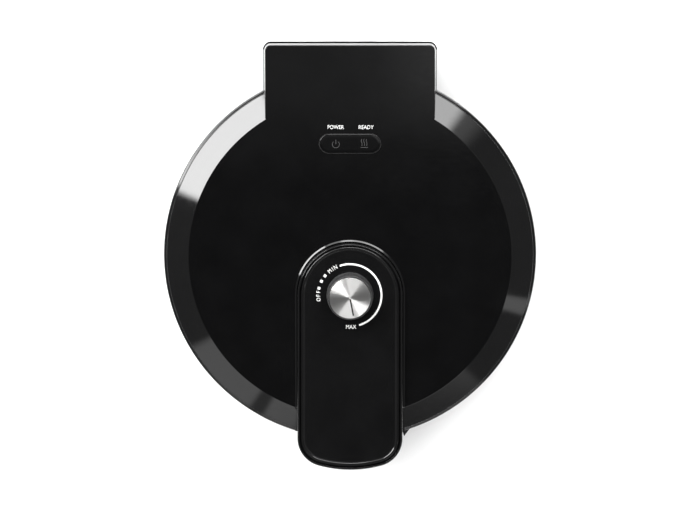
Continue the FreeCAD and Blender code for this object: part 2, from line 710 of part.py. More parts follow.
def handle():
    """Upper handle: frame, panel, grip cover and its two screws."""
    frame = new_body("handle_frame")
    pad(frame, Profile(frame, "frame_outline", "XY_Plane", d.grip_bottom).handle(),
        d.handle_top - d.grip_bottom)
    top = d.handle_top.value
    round_edges(frame, d.frame_edge, lambda low, high: close(low[2], top))
    clear_rear(frame, d.grip_bottom, d.grip_start, d.handle_floor - d.grip_bottom)
    panel_bottom = d.panel_top - d.panel_thickness
    pocket(frame, Profile(frame, "panel_recess", "XY_Plane", d.handle_top).handle(
        d.panel_inset), d.handle_top - panel_bottom)
    floor_top = d.handle_floor + d.frame_floor
    pocket(frame, Profile(frame, "frame_hollow", "XY_Plane", panel_bottom).handle(
        d.panel_inset + d.ledge), panel_bottom - floor_top)
    pocket(frame, Profile(frame, "bush_hole", "XY_Plane", floor_top).circle(
        0, -d.knob_front, d.thermostat_bush + 0.4), d.frame_floor)
    grip = d.handle_half_width - 10
    pocket(frame, Profile(frame, "grip_hollow", "XY_Plane", d.grip_bottom).rectangle(
        -grip, grip, -d.handle_reach + 9, -d.grip_cover_start - 2.5), 6, up=True)
    panel = new_body("handle_panel")
    pad(panel, Profile(panel, "panel_outline", "XY_Plane", panel_bottom).handle(
        d.panel_inset + 0.2), d.panel_thickness)
    pocket(panel, Profile(panel, "shaft_hole", "XY_Plane", d.panel_top).circle(
        0, -d.knob_front, 7), d.panel_thickness)
    cover = new_body("handle_bottom_cover")
    cover_bottom = d.grip_bottom - d.grip_cover
    pad(cover, Profile(cover, "cover_outline", "XY_Plane", cover_bottom).handle(1.2),
        d.grip_cover)
    clear_rear(cover, cover_bottom, d.grip_cover_start, d.grip_cover)
    holes = Profile(cover, "cover_holes", "XY_Plane", cover_bottom)
    screws = []
    for number, side in enumerate((-1, 1)):
        x, y = side * d.handle_half_width * 0.86, -d.grip_cover_start - 5
        holes.circle(x, y, 3)
        head = make_cylinder(f"handle_screw_head{number}", 2.9, 1.6, (x, y, cover_bottom + 0.9))
        screws.append(head)
    pocket(cover, holes, d.grip_cover, up=True)
    group("handle_screws", *screws)


# ---- knob ----------------------------------------------------------------------------------

def knob():
    """Knob with its metal cap and black line, clip and thermostat shaft, all turning together."""
    bore = d.shaft_radius + d.running
    boss = d.shaft_radius + 3
    skirt = d.knob_radius - d.knob_wall
    seat = d.cap_top - d.cap_thickness
    crown = seat - 2.8
    turned("knob_body", [
        (bore, d.knob_bottom + 1), (boss, d.knob_bottom + 1), (boss, crown), (skirt, crown),
        (skirt, d.knob_bottom), (d.knob_radius, d.knob_bottom),
        (d.knob_radius, d.knob_bottom + 2), (d.knob_top_radius, d.knob_top),
        (d.cap_radius + 0.2, d.knob_top), (d.cap_radius + 0.2, seat), (0, seat),
        (0, d.shaft_top + 0.2), (bore, d.shaft_top + 0.2)], front=d.knob_front)
    cap = turned("knob_cap_blank", [
        (0, seat), (d.cap_radius, seat), (d.cap_radius, d.cap_top - 0.8),
        (d.cap_radius - 0.8, d.cap_top), (0, d.cap_top)], front=d.knob_front)
    lines = []
    for name, grow in (("pointer_cutter", 0.5), ("knob_pointer", 0)):
        line = doc.addObject("Part::Box", name)
        bind(line, "Length", d.pointer_length)
        bind(line, "Width", d.pointer_width)
        bind(line, "Height", d.pointer_depth + grow)
        turn = math.radians(SIZES["pointer_turn"][0])
        start, half = d.pointer_start, d.pointer_width / 2
        place(line, start * math.cos(turn) + half * math.sin(turn),
              -d.knob_front + start * math.sin(turn) - half * math.cos(turn),
              d.cap_top - d.pointer_depth, turn=SIZES["pointer_turn"][0])
        lines.append(line)
    cut("knob_cap", cap, lines[0])
    make_cylinder("thermostat_shaft", d.shaft_radius, d.shaft_top - d.shaft_bottom,
                  (0, -d.knob_front, d.shaft_bottom))
    turned("knob_clip", [
        (boss + 0.05, d.knob_bottom + 3), (boss + 0.8, d.knob_bottom + 3),
        (boss + 0.8, d.knob_bottom + 8), (boss + 0.05, d.knob_bottom + 8)], front=d.knob_front)


# ---- hinge ---------------------------------------------------------------------------------

def hinge():
    """Barrel with its neck, pin and clips on the base; arms and bushes on the lid."""
    barrel = new_body("hinge_barrel")
    pad(barrel, Profile(barrel, "barrel_round", "YZ_Plane").circle(
        d.hinge_rear, d.hinge_height, d.barrel_radius), 2 * d.barrel_half, both=True)
    pad(barrel, Profile(barrel, "neck", "YZ_Plane").polygon([
        (d.neck_front, d.base_top), (d.neck_rear, d.base_top),
        (d.neck_rear, d.hinge_height - d.barrel_radius * 0.89),
        (d.hinge_rear, d.hinge_height), (d.hinge_rear - 12, d.hinge_height + 7),
        (d.neck_front, d.hinge_height - 7)]), 2 * d.barrel_half, both=True)
    pocket(barrel, Profile(barrel, "barrel_bore", "YZ_Plane").circle(
        d.hinge_rear, d.hinge_height, d.pin_radius + 0.02), 2 * d.barrel_half, both=True)
    make_cylinder("hinge_pin", d.pin_radius, 2 * d.pin_half,
                  (-d.pin_half, d.hinge_rear, d.hinge_height), "X")
    clips = []
    outside = d.arm_inside + d.arm_thickness
    for side, start in (("left", -outside - 1.7), ("right", outside + 1.0)):
        ring = make_cylinder(f"clip_{side}_ring", 6.5, 0.7, (start, d.hinge_rear, d.hinge_height), "X")
        hole = make_cylinder(f"clip_{side}_hole", d.pin_radius + 0.02, 2,
                             (start - 0.5, d.hinge_rear, d.hinge_height), "X")
        clips.append(cut(f"clip_{side}", ring, hole))
    group("hinge_pin_clips", *clips)
    under_cover = d.disc_top - d.wall
    flange_bottom = under_cover - d.arm_thickness
    screws = []
    for name, side in (("left", -1), ("right", 1)):
        near, far = d.arm_inside * side, (d.arm_inside + d.arm_thickness) * side
        low, high = (near, far) if side > 0 else (far, near)
        start = dim(low)
        eye = make_cylinder(f"arm_{name}_eye", d.arm_eye, d.arm_thickness,
                            (start, d.hinge_rear, d.hinge_height), "X")
        link = make_box(f"arm_{name}_link", (low, 128, d.hinge_height + 1),
                        (high, d.hinge_rear, flange_bottom))
        leg = make_box(f"arm_{name}_leg", (low, 98, d.handle_floor), (high, 140, under_cover))
        foot_low, foot_high = (55, high) if side > 0 else (low, -55)
        foot = make_box(f"arm_{name}_foot", (foot_low, 98, flange_bottom),
                        (foot_high, 140, under_cover))
        bore = make_cylinder(f"arm_{name}_bore", d.pin_radius + d.running + d.bush_wall,
                             d.arm_thickness + 2, (start - 1, d.hinge_rear, d.hinge_height), "X")
        cut(f"hinge_arm_{name}", join(f"arm_{name}_solid", eye, link, leg, foot), bore)
        bush = make_cylinder(f"bush_{name}_ring", d.pin_radius + d.running + d.bush_wall,
                             d.arm_thickness + 0.8, (start - 0.4, d.hinge_rear, d.hinge_height), "X")
        hole = make_cylinder(f"bush_{name}_hole", d.pin_radius + d.running,
                             d.arm_thickness + 3, (start - 1, d.hinge_rear, d.hinge_height), "X")
        cut(f"hinge_bush_{name}", bush, hole)
        for number, y in enumerate((106, 132)):
            screws.append(make_cylinder(f"arm_{name}_screw{number}", 3.2, 2,
                                        (61 * side, y, flange_bottom - 2)))
    group("hinge_screws", *screws)


# ---- base ----------------------------------------------------------------------------------

def base_outside(body, name, top):
    """Outer form of the round part of the base, from its axis out."""
    return Profile(body, name, "XZ_Plane").polygon([
        (0, d.base_bottom), (d.base_foot_radius, d.base_bottom),
        (d.base_wall_radius, d.base_wall_top), (d.rim_radius - 0.3, d.base_rim_bottom),
        (d.rim_radius - 0.3, top), (0, top)])


TAB_CORNERS = ((0, 0), (9.2, 12.3), (3.7, 24.4), (-5.7, 17.0))
TAB_SLOT = ((10.0, 11.8), (5.7, 29.4), (-8.0, 22.9), (-6.4, 16.5), (-0.7, -1.0), (0.6, -1.0))


def from_tab_tip(corners):
    """Corners given from the release tab's pointed end, as points."""
    return [(d.tab_tip_side + x, y - d.tab_tip_front) for x, y in corners]


def screw_holes(body, level):
    """Sketch of the four holes for the bottom cover's screws."""
    holes = Profile(body, f"{body.Label}_screw_holes", "XY_Plane", level)
    for angle in QUARTERS:
        across, along = (round(part) for part in on_circle(1, angle))
        holes.circle(across * d.cover_screw_circle, along * d.cover_screw_circle, d.screw_hole)
    return holes


def base_shell():
    """Round bowl with a rear block that is scooped out for the lid's swinging rear wall."""
    body = new_body("base_shell")
    revolve(body, base_outside(body, "outer_form", d.base_top))
    foot = 2 * d.base_foot_radius.value
    round_edges(body, 6, lambda low, high: close(low[2], d.base_bottom.value) and close(
        high[0] - low[0], foot))
    pad(body, Profile(body, "block_form", "XY_Plane", d.base_bottom).rectangle(
        -d.block_half_width, d.block_half_width, 100, d.block_rear), d.base_top - d.base_bottom)
    rear, half = d.block_rear.value, d.block_half_width.value
    round_edges(body, 6, lambda low, high: close(low[1], rear) and close(
        low[0], high[0]) and close(abs(low[0]), half))
    floor = d.base_bottom + d.wall
    groove(body, Profile(body, "inner_form", "XZ_Plane").polygon([
        (0, floor), (d.base_foot_radius - 1.2, floor),
        (d.base_wall_radius - d.wall, d.base_wall_top + 0.6),
        (d.rim_radius - 0.3 - d.wall, d.base_rim_bottom + 0.8),
        (d.rim_radius - 0.3 - d.wall, d.base_top), (0, d.base_top)]))
    inside = d.block_half_width - d.wall
    pocket(body, Profile(body, "block_hollow", "XY_Plane", floor).rectangle(
        -inside, inside, 90, d.block_rear - d.wall), d.base_top - d.wall - floor, up=True)
    pad(body, Profile(body, "scoop_skin", "YZ_Plane").bay(
        d.neck_rear - d.wall, d.block_rear, d.scoop_radius + d.wall, d.base_top),
        2 * (d.block_half_width - 6), both=True)
    pocket(body, Profile(body, "scoop", "YZ_Plane").bay(
        d.neck_rear, d.block_rear + 3, d.scoop_radius, d.hinge_height),
        2 * d.rim_radius, both=True)
    pocket(body, Profile(body, "floor_hole", "XY_Plane", d.base_bottom).circle(
        0, 0, d.floor_opening), d.wall, up=True)
    half_width, half_height = d.inlet_width / 2 + 0.2, d.inlet_body_height / 2 + 0.2
    pocket(body, Profile(body, "inlet_hole", "XZ_Plane", -d.block_rear).rectangle(
        -half_width, half_width, d.inlet_height - half_height, d.inlet_height + half_height),
        d.wall + 0.1, up=True)
    pocket(body, Profile(body, "tab_slot", "XY_Plane", d.tab_bottom - d.tab_gap).polygon(
        from_tab_tip(TAB_SLOT)), d.tab_thickness + 2 * d.tab_gap, up=True)
    for number, angle in enumerate(DIAGONALS):
        x, y = on_circle(d.boss_circle, angle)
        pad(body, Profile(body, f"boss{number}", "XY_Plane", d.lower_ring_bottom - 8).circle(
            x, y, d.boss_radius), 8)
        pocket(body, Profile(body, f"boss_hole{number}", "XY_Plane", d.lower_ring_bottom).circle(
            x, y, d.pilot_hole), 7)
    pocket(body, screw_holes(body, d.base_bottom), d.wall, up=True)


def bottom_cover():
    """Sheet cover under the base with a ring of vent slots."""
    body = turned("bottom_cover", [
        (0, d.base_bottom - d.cover_sheet), (d.cover_radius, d.base_bottom - d.cover_sheet),
        (d.cover_radius, d.base_bottom), (0, d.base_bottom)])
    pocket(body, screw_holes(body, d.base_bottom), d.cover_sheet)
    vent = pocket(body, Profile(body, "vent", "XY_Plane", d.base_bottom).rectangle(
        50, 78, -2, 2), d.cover_sheet)
    vents = body.newObject("PartDesign::PolarPattern", "vents")
    vents.Originals = [vent]
    vents.Axis = (next(f for f in body.Origin.OriginFeatures if f.Role == "Z_Axis"), [""])
    vents.Angle = 360
    vents.Occurrences = 12
    body.Tip = vents
    doc.recompute()


def feet():
    """Four rubber feet; the rear pair stands far back, to carry the open lid."""
    spots = {"front_left": (-d.front_foot_side, -d.front_foot_front),
             "front_right": (d.front_foot_side, -d.front_foot_front),
             "rear_left": (-d.rear_foot_side, d.rear_foot_rear),
             "rear_right": (d.rear_foot_side, d.rear_foot_rear)}
    for name, (x, y) in spots.items():
        foot = doc.addObject("Part::Cone", f"foot_{name}")
        bind(foot, "Radius1", d.foot_radius)
        bind(foot, "Radius2", d.foot_radius + d.foot_flare)
        bind(foot, "Height", d.base_bottom)
        place(foot, x, y, 0)


def lower_handle():
    """Short grip on the front of the base, shaped to the bowl."""
    body = new_body("lower_handle")
    half = d.base_grip_half_width
    pad(body, Profile(body, "grip_form", "XY_Plane", d.base_grip_bottom).rectangle(
        -half, half, -d.base_grip_reach, -d.base_foot_radius), d.base_grip_top - d.base_grip_bottom)
    front = -d.base_grip_reach.value
    round_edges(body, 16, lambda low, high: close(low[1], front) and close(high[1], front)
                and close(low[0], high[0]))
    groove(body, Profile(body, "bowl_form", "XZ_Plane").polygon([
        (0, d.base_bottom), (d.base_foot_radius + 0.2, d.base_bottom),
        (d.base_wall_radius + 0.2, d.base_wall_top), (0, d.base_wall_top)]))


def power_inlet():
    """Rear-facing appliance inlet with three contact blades, and the terminal block inside."""
    body = new_body("inlet_housing")
    width, height, z = d.inlet_width / 2, d.inlet_body_height / 2, d.inlet_height
    face = d.block_rear + d.inlet_flange
    pad(body, Profile(body, "inlet_body", "XZ_Plane", -face).rectangle(
        -width, width, z - height, z + height), d.inlet_depth)
    width, height = d.inlet_flange_width / 2, d.inlet_flange_height / 2
    pad(body, Profile(body, "inlet_flange", "XZ_Plane", -face).rectangle(
        -width, width, z - height, z + height), d.inlet_flange)
    width, height = d.socket_width / 2, d.socket_height / 2
    pocket(body, Profile(body, "inlet_socket", "XZ_Plane", -face).rectangle(
        -width, width, z - height, z + height), d.socket_depth, up=True)
    back = face - d.socket_depth
    blades = []
    for number, (side, drop) in enumerate(((-1, -4), (0, 2), (1, -4))):
        x = side * d.blade_spacing
        blades.append(make_box(f"blade{number}", (x - 1, back, z + drop),
                               (x + 1, back + d.blade_length, z + drop + 4)))
    group("inlet_blades", *blades)
    floor = d.base_bottom + d.wall
    make_box("terminal_block", (28, 140, floor), (62, 156, floor + 16))


def release_tab():
    """Tab that is pressed in to free the lower plate; its pointed end stands out of the rim."""
    body = new_body("plate_release_tab")
    pad(body, Profile(body, "tab_outline", "XY_Plane", d.tab_bottom).polygon(
        from_tab_tip(TAB_CORNERS)), d.tab_thickness)


# ---- screws --------------------------------------------------------------------------------

def ring_screws(label, circle, angles, head_bottom, head_height, shank_bottom, shank_length):
    """Pan-head screws on a circle, each one head and shank."""
    screws = []
    for angle in angles:
        x, y = on_circle(circle, angle)
        head = make_cylinder(f"{label}_head{angle}", 2.9, head_height, (x, y, head_bottom))
        shank = make_cylinder(f"{label}_shank{angle}", 1.45, shank_length, (x, y, shank_bottom))
        screws.append(join(f"{label}_screw{angle}", head, shank))
    group(label, *screws)


def build():
    """Make every sub-part."""
    lid_cover()
    inner_ring("lid_inner_ring", d.upper_ring_bottom, d.plate_radius + 0.6, 152, d.boss_circle)
    upper_plate()
    heater("upper_heater", d.upper_face + d.plate_thickness + d.heater_tube + 0.1)
    heat_shield("upper_heat_shield", d.upper_shield_top, d.upper_shield_top - d.shield_depth, 21)
    fuse("upper_fuse", -60, -8, d.upper_face + d.plate_thickness + 2.3)
    thermostat()
    indicator()
    handle()
    knob()
    hinge()
    base_shell()
    inner_ring("base_inner_ring", d.lower_ring_bottom, d.pan_radius + 7.2, 150, d.boss_circle)
    lower_plate()
    heater("lower_heater", d.lower_face - d.plate_thickness - d.heater_tube - 0.1)
    heat_shield("lower_heat_shield", d.lower_shield_bottom, d.lower_shield_bottom + d.shield_depth)
    fuse("lower_fuse", -60, -8, d.lower_face - d.plate_thickness - 2.3)
    bottom_cover()
    feet()
    lower_handle()
    power_inlet()
    release_tab()
    ring_screws("lid_screws", d.boss_circle, DIAGONALS, d.upper_ring_bottom - 1.2, 1.2,
                d.upper_ring_bottom, 12)
    ring_screws("base_ring_screws", d.boss_circle, DIAGONALS, d.lower_ring_bottom + 2.5, 1.2,
                d.lower_ring_bottom - 6, 8.5)
    cover_bottom = d.base_bottom - d.cover_sheet
    ring_screws("cover_screws", d.cover_screw_circle, QUARTERS, cover_bottom - 1.2, 1.2,
                cover_bottom, 4.5)


PARTS = (
    "lid_cover", "lid_inner_ring", "upper_plate", "upper_heater", "upper_heat_shield",
    "upper_fuse", "thermostat_body", "thermostat_bracket", "thermostat_nut", "indicator_lens",
    "indicator_baffle", "indicator_board", "power_led", "ready_led", "handle_frame",
    "handle_panel", "handle_bottom_cover", "handle_screws", "knob_body", "knob_cap",
    "knob_pointer", "knob_clip", "thermostat_shaft", "hinge_barrel", "hinge_pin",
    "hinge_pin_clips", "hinge_arm_left", "hinge_arm_right", "hinge_bush_left",
    "hinge_bush_right", "hinge_screws", "base_shell", "base_inner_ring", "lower_plate",
    "lower_heater", "lower_heat_shield", "lower_fuse", "bottom_cover", "foot_front_left",
    "foot_front_right", "foot_rear_left", "foot_rear_right", "lower_handle", "inlet_housing",
    "inlet_blades", "terminal_block", "plate_release_tab", "lid_screws", "base_ring_screws",
    "cover_screws")


def check():
    """Stop if any object of the document failed or a sub-part has no sound solid."""
    failed = [o.Label for o in doc.Objects if {"Invalid", "Error"} & set(o.State)]
    for label in PARTS:
        found = doc.getObjectsByLabel(label)
        if len(found) != 1 or found[0].Shape.isNull() or not found[0].Shape.isValid():
            failed.append(label)
        elif not found[0].Shape.Solids:
            failed.append(label)
    if failed:
        raise RuntimeError(f"not sound: {sorted(set(failed))}")


def export():
    """Write each sub-part to a STEP file named after its node."""
    os.makedirs("parts", exist_ok=True)
    for label in PARTS:
        doc.getObjectsByLabel(label)[0].Shape.exportStep(f"parts/{label}.step")
        print(f"{label}: {doc.getObjectsByLabel(label)[0].Shape.Volume / 1000:.2f} cm3")


build()
doc.recompute()
check()
export()
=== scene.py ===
"""Looks of a round electric griddle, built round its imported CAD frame.

Sizes in the classes are millimetres in the frame's own axes: Z is the axis of the round plates,
the handle points along -Y and the hinge housing along +Y. Meshes are written in metres.
"""

import logging
import math
from dataclasses import dataclass, field
from enum import Enum

import bmesh
import bpy
import numpy as np
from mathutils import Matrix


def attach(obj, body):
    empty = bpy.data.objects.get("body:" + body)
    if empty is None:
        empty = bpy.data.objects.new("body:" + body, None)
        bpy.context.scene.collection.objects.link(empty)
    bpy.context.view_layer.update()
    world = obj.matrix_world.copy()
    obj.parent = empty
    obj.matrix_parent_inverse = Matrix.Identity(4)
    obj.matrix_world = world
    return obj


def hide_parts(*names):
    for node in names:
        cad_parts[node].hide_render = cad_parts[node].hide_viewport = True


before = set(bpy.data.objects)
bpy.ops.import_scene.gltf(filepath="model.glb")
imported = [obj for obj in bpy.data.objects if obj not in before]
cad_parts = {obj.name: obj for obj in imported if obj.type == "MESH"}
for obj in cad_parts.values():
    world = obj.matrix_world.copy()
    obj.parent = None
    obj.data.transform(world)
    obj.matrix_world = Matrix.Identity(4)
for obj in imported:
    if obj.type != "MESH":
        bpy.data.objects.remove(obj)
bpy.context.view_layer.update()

MM = 0.001
log = logging.getLogger("griddle")


# ---- outlines and profiles -----------------------------------------------------------------

def polar(radius: float | np.ndarray, turn: np.ndarray) -> np.ndarray:
    """Points radius (cos, sin) of the angles in radians, with x and y in the last axis."""
    return np.stack((radius * np.cos(turn), radius * np.sin(turn)), -1)


def raised(flat: np.ndarray, height: float | np.ndarray) -> np.ndarray:
    """Adds a height, or one height for each point, to points of x and y."""
    return np.concatenate((flat, np.broadcast_to(height, flat.shape[:-1])[..., None]), -1)


@dataclass(frozen=True)
class Arc:
    """Round stretch of an outline: centre, radius, and the angles where it starts and ends."""

    x: float
    y: float
    radius: float
    start: float
    end: float


@dataclass(frozen=True)
class Outline:
    """Closed outline seen from above: arcs, with straight runs between them."""

    arcs: tuple[Arc, ...]
    step: float = 3.0
    run: int = 12

    def inset(self, amounts: np.ndarray) -> np.ndarray:
        """Works out the outline at several insets, with matching points in each.

        A point of an arc is its centre plus (radius - inset) times (cos, sin) of its angle, and
        the points between two arcs lie evenly on the straight line from one to the next.

        Args:
            amounts: How far each copy lies inside the outline, in millimetres.

        Returns:
            Array of copies x points x 2.
        """
        amounts = np.asarray(amounts, float)
        rounds = []
        for arc in self.arcs:
            count = max(2, round((arc.end - arc.start) / self.step)) + 1
            turn = np.radians(np.linspace(arc.start, arc.end, count))
            reach = arc.radius - amounts[:, None]
            rounds.append(polar(reach, turn) + (arc.x, arc.y))
        share = np.linspace(0, 1, self.run + 1)[1:-1][None, :, None]
        stretches = []
        for here, after in zip(rounds, rounds[1:] + rounds[:1]):
            stretches += [here, here[:, -1:] * (1 - share) + after[:, :1] * share]
        return np.concatenate(stretches, axis=1)


def stadium(length: float, width: float, x: float = 0, y: float = 0, step: float = 5.0) -> Outline:
    """Long outline with round ends, along X."""
    half = (length - width) / 2
    return Outline((Arc(x + half, y, width / 2, -90, 90),
                    Arc(x - half, y, width / 2, 90, 270)), step)


def soften(corners: list[tuple[float, float, float]], steps: int = 5) -> np.ndarray:
    """Rounds the corners of a profile.

    Each corner p with a cut c is replaced by the curve
    (1 - t)^2 (p + c a) + 2 t (1 - t) p + t^2 (p + c b), where a and b point from p towards its
    two neighbours.

    Args:
        corners: Two coordinates and the cut of each corner; a cut of 0 leaves it sharp.
        steps: Points on each rounded corner.

    Returns:
        Array of points x 2.
    """
    table = np.array(corners, float)
    edges = np.linalg.norm(np.diff(table[:, :2], axis=0), axis=1)
    if (table[:-1, 2] + table[1:, 2] > edges + 1e-9).any():
        raise ValueError(f"the cuts meet on a side of {corners}")
    point, size = table[:, :2], table[:, 2, None, None]
    before = np.roll(point, 1, axis=0) - point
    after = np.roll(point, -1, axis=0) - point
    before /= np.linalg.norm(before, axis=1, keepdims=True)
    after /= np.linalg.norm(after, axis=1, keepdims=True)
    t = np.linspace(0, 1, steps)[None, :, None]
    point = point[:, None, :]
    curve = (point + size * ((1 - t) ** 2 * before[:, None, :] + t ** 2 * after[:, None, :]))
    curve = curve.reshape(-1, 2)
    step = np.linalg.norm(np.diff(curve, axis=0), axis=1)
    return curve[np.concatenate(([True], step > 1e-6))]


def carry(outline: Outline, profile: np.ndarray) -> np.ndarray:
    """Carries a profile of (inset, height) round an outline, giving rows x points x 3."""
    return raised(outline.inset(profile[:, 0]), profile[:, 1, None])


def spin(profile: np.ndarray, x: float = 0, y: float = 0, step: float = 2.0,
         wave: tuple[int, np.ndarray] | None = None) -> np.ndarray:
    """Turns a profile of (radius, height) round an upright axis.

    A point is the axis plus r (cos a, sin a); with a wave, r grows by depth times
    |cos(count a / 2)| of the ribs at that row.

    Args:
        profile: Radius and height of each row.
        x: Axis.
        y: Axis.
        step: Degrees between columns.
        wave: Number of ribs, and their depth in each row.

    Returns:
        Array of rows x columns x 3.
    """
    turn = np.radians(np.arange(0, 360, step))[None, :]
    radius = np.repeat(profile[:, :1], turn.shape[1], axis=1)
    if wave is not None:
        count, depth = wave
        radius = radius + depth[:, None] * (np.abs(np.cos(count * turn / 2)) - 1)
    height = np.broadcast_to(profile[:, 1:], radius.shape)
    return np.stack((x + radius * np.cos(turn), y + radius * np.sin(turn), height), -1)


# ---- finishes ------------------------------------------------------------------------------

# Widths in millimetres of the slow changes: of the colour, of rub marks, of a mould's ripple
# and of a coating's unevenness.
DRIFT, RUB, RIPPLE, UNEVEN = 28, 9, 14, 11


class Grain(Enum):
    """How a surface is marked when it is seen up close."""

    POLISHED = "polished"
    MOULDED = "moulded"
    CAST = "cast"
    BRUSHED = "brushed"
    SPUN = "spun"
    PRINTED = "printed"


class Graph:
    """Node tree of one material, with short calls to add and join its nodes."""

    def __init__(self, name: str) -> None:
        """Starts a material that holds only its shader and output."""
        self.material = bpy.data.materials.new(name)
        self.material.use_nodes = True
        self.tree = self.material.node_tree
        self.tree.nodes.clear()
        self.shader = self.tree.nodes.new("ShaderNodeBsdfPrincipled")
        output = self.tree.nodes.new("ShaderNodeOutputMaterial")
        self.tree.links.new(self.shader.outputs[0], output.inputs[0])
        self.place = self.tree.nodes.new("ShaderNodeTexCoord").outputs["Object"]

    def node(self, kind: str, values: dict | None = None, **settings) -> bpy.types.Node:
        """Adds a node; values go to its sockets, joined where a value is itself a socket."""
        node = self.tree.nodes.new(kind)
        for key, value in settings.items():
            setattr(node, key, value)
        for key, value in (values or {}).items():
            if isinstance(value, bpy.types.NodeSocket):
                self.tree.links.new(value, node.inputs[key])
            else:
                node.inputs[key].default_value = value
        return node

    def noise(self, size: float, detail: float = 2,
              stretch: tuple[float, float, float] = (1, 1, 1)) -> bpy.types.NodeSocket:
        """Noise whose features are about size millimetres wide, stretched along the axes."""
        place = self.node("ShaderNodeMapping", {"Vector": self.place, "Scale": stretch})
        noise = self.node("ShaderNodeTexNoise", {"Vector": place.outputs[0],
                                                 "Scale": 1 / (size * MM), "Detail": detail})
        return noise.outputs["Fac"]

    def spread(self, fac: bpy.types.NodeSocket, low: float, high: float,
               floor: float = 0.3, ceiling: float = 0.7) -> bpy.types.NodeSocket:
        """Maps a noise between floor and ceiling to values between low and high."""
        return self.node("ShaderNodeMapRange", {
            "Value": fac, "From Min": floor, "From Max": ceiling,
            "To Min": low, "To Max": high}).outputs[0]

    def bump(self, height: bpy.types.NodeSocket, depth: float,
             under: bpy.types.NodeSocket | None = None) -> bpy.types.NodeSocket:
        """Bump of the given depth in millimetres, over another bump if there is one."""
        values = {"Height": height, "Distance": depth * MM, "Strength": 1.0}
        if under is not None:
            values["Normal"] = under
        return self.node("ShaderNodeBump", values).outputs[0]

    def feed(self, name: str, socket: bpy.types.NodeSocket) -> None:
        """Joins a socket to the shader."""
        self.tree.links.new(socket, self.shader.inputs[name])


@dataclass(frozen=True)
class Finish:
    """Colour, gloss and close-up marks of one material.

    Attributes:
        name: Name of the material.
        colour: Middle colour, linear.
        gloss: Lowest and highest roughness.
        grain: Kind of marks.
        size: Width of one mark, in millimetres.
        depth: Depth of the marks, in millimetres.
        metal: 1 for bare metal.
        tone: Share by which the colour varies.
    """

    name: str
    colour: tuple[float, float, float]
    gloss: tuple[float, float]
    grain: Grain
    size: float = 1.0
    depth: float = 0.01
    metal: float = 0.0
    tone: float = 0.25

    def material(self) -> bpy.types.Material:
        """Builds the material, or returns it if it is already there."""
        ready = bpy.data.materials.get("finish_" + self.name)
        if ready is not None:
            return ready
        graph = Graph("finish_" + self.name)
        graph.shader.inputs["Metallic"].default_value = self.metal
        self.paint(graph)
        getattr(self, "grain_" + self.grain.value)(graph)
        return graph.material

    def paint(self, graph: Graph) -> None:
        """Colour that drifts over some centimetres and speckles at the size of the marks."""
        drift = graph.noise(DRIFT, 3)
        speck = graph.noise(self.size * 0.7, 1)
        level = graph.node("ShaderNodeMath", {0: drift, 1: speck}, operation="ADD").outputs[0]
        ramp = graph.node("ShaderNodeValToRGB", {"Fac": graph.spread(level, 0, 1, 0.7, 1.3)})
        dark = tuple(c * (1 - self.tone) for c in self.colour)
        light = tuple(min(1, c * (1 + self.tone)) for c in self.colour)
        ramp.color_ramp.elements[0].color = (*dark, 1)
        ramp.color_ramp.elements[1].color = (*light, 1)
        graph.feed("Base Color", ramp.outputs[0])

    def grain_polished(self, graph: Graph) -> None:
        """Mirror-like moulding: slow ripple of the mould, faint rub marks and a little dust."""
        rub = graph.noise(RUB, 4, (1, 3, 1))
        graph.feed("Roughness", graph.spread(rub, *self.gloss))
        ripple = graph.bump(graph.noise(RIPPLE, 1), self.depth)
        graph.feed("Normal", graph.bump(graph.noise(self.size, 2), self.depth * 0.05, ripple))

    def grain_moulded(self, graph: Graph) -> None:
        """Fine pebbled grain of a spark-worn mould."""
        graph.feed("Roughness", graph.spread(graph.noise(self.size * 6, 3), *self.gloss))
        cells = graph.node("ShaderNodeTexVoronoi", {"Vector": graph.place,
                                                    "Scale": 1 / (self.size * MM)})
        graph.feed("Normal", graph.bump(cells.outputs["Distance"], self.depth))

    def grain_cast(self, graph: Graph) -> None:
        """Coated casting: fine speckle over a slow unevenness."""
        speckle = graph.noise(self.size, 3)
        graph.feed("Roughness", graph.spread(speckle, *self.gloss))
        uneven = graph.bump(graph.noise(UNEVEN, 2), self.depth * 3)
        graph.feed("Normal", graph.bump(speckle, self.depth, uneven))

    def grain_brushed(self, graph: Graph) -> None:
        """Rolled or drawn metal with long fine lines along X and a few stains."""
        lines = graph.noise(self.size, 3, (0.04, 1, 1))
        graph.feed("Roughness", graph.spread(lines, *self.gloss))
        graph.feed("Normal", graph.bump(lines, self.depth))

    def grain_spun(self, graph: Graph) -> None:
        """Lathe-turned face: rings that follow the piece's own map, which stretch the shine."""
        turn = graph.node("ShaderNodeUVMap", uv_map="turned").outputs[0]
        rings = graph.node("ShaderNodeTexNoise", {"Vector": graph.node("ShaderNodeMapping", {
            "Vector": turn, "Scale": (1 / (self.size * MM), 0.4, 1)}).outputs[0],
            "Scale": 1.0, "Detail": 4.0}).outputs["Fac"]
        graph.feed("Roughness", graph.spread(rings, *self.gloss))
        graph.feed("Normal", graph.bump(rings, self.depth))
        graph.shader.inputs["Anisotropic"].default_value = 1.0
        tangent = graph.node("ShaderNodeTangent", direction_type="UV_MAP", uv_map="turned")
        graph.feed("Tangent", tangent.outputs[0])

    def grain_printed(self, graph: Graph) -> None:
        """Pad-printed ink with a slightly uneven film."""
        film = graph.noise(self.size, 3)
        graph.feed("Roughness", graph.spread(film, *self.gloss))
        graph.feed("Normal", graph.bump(film, self.depth))


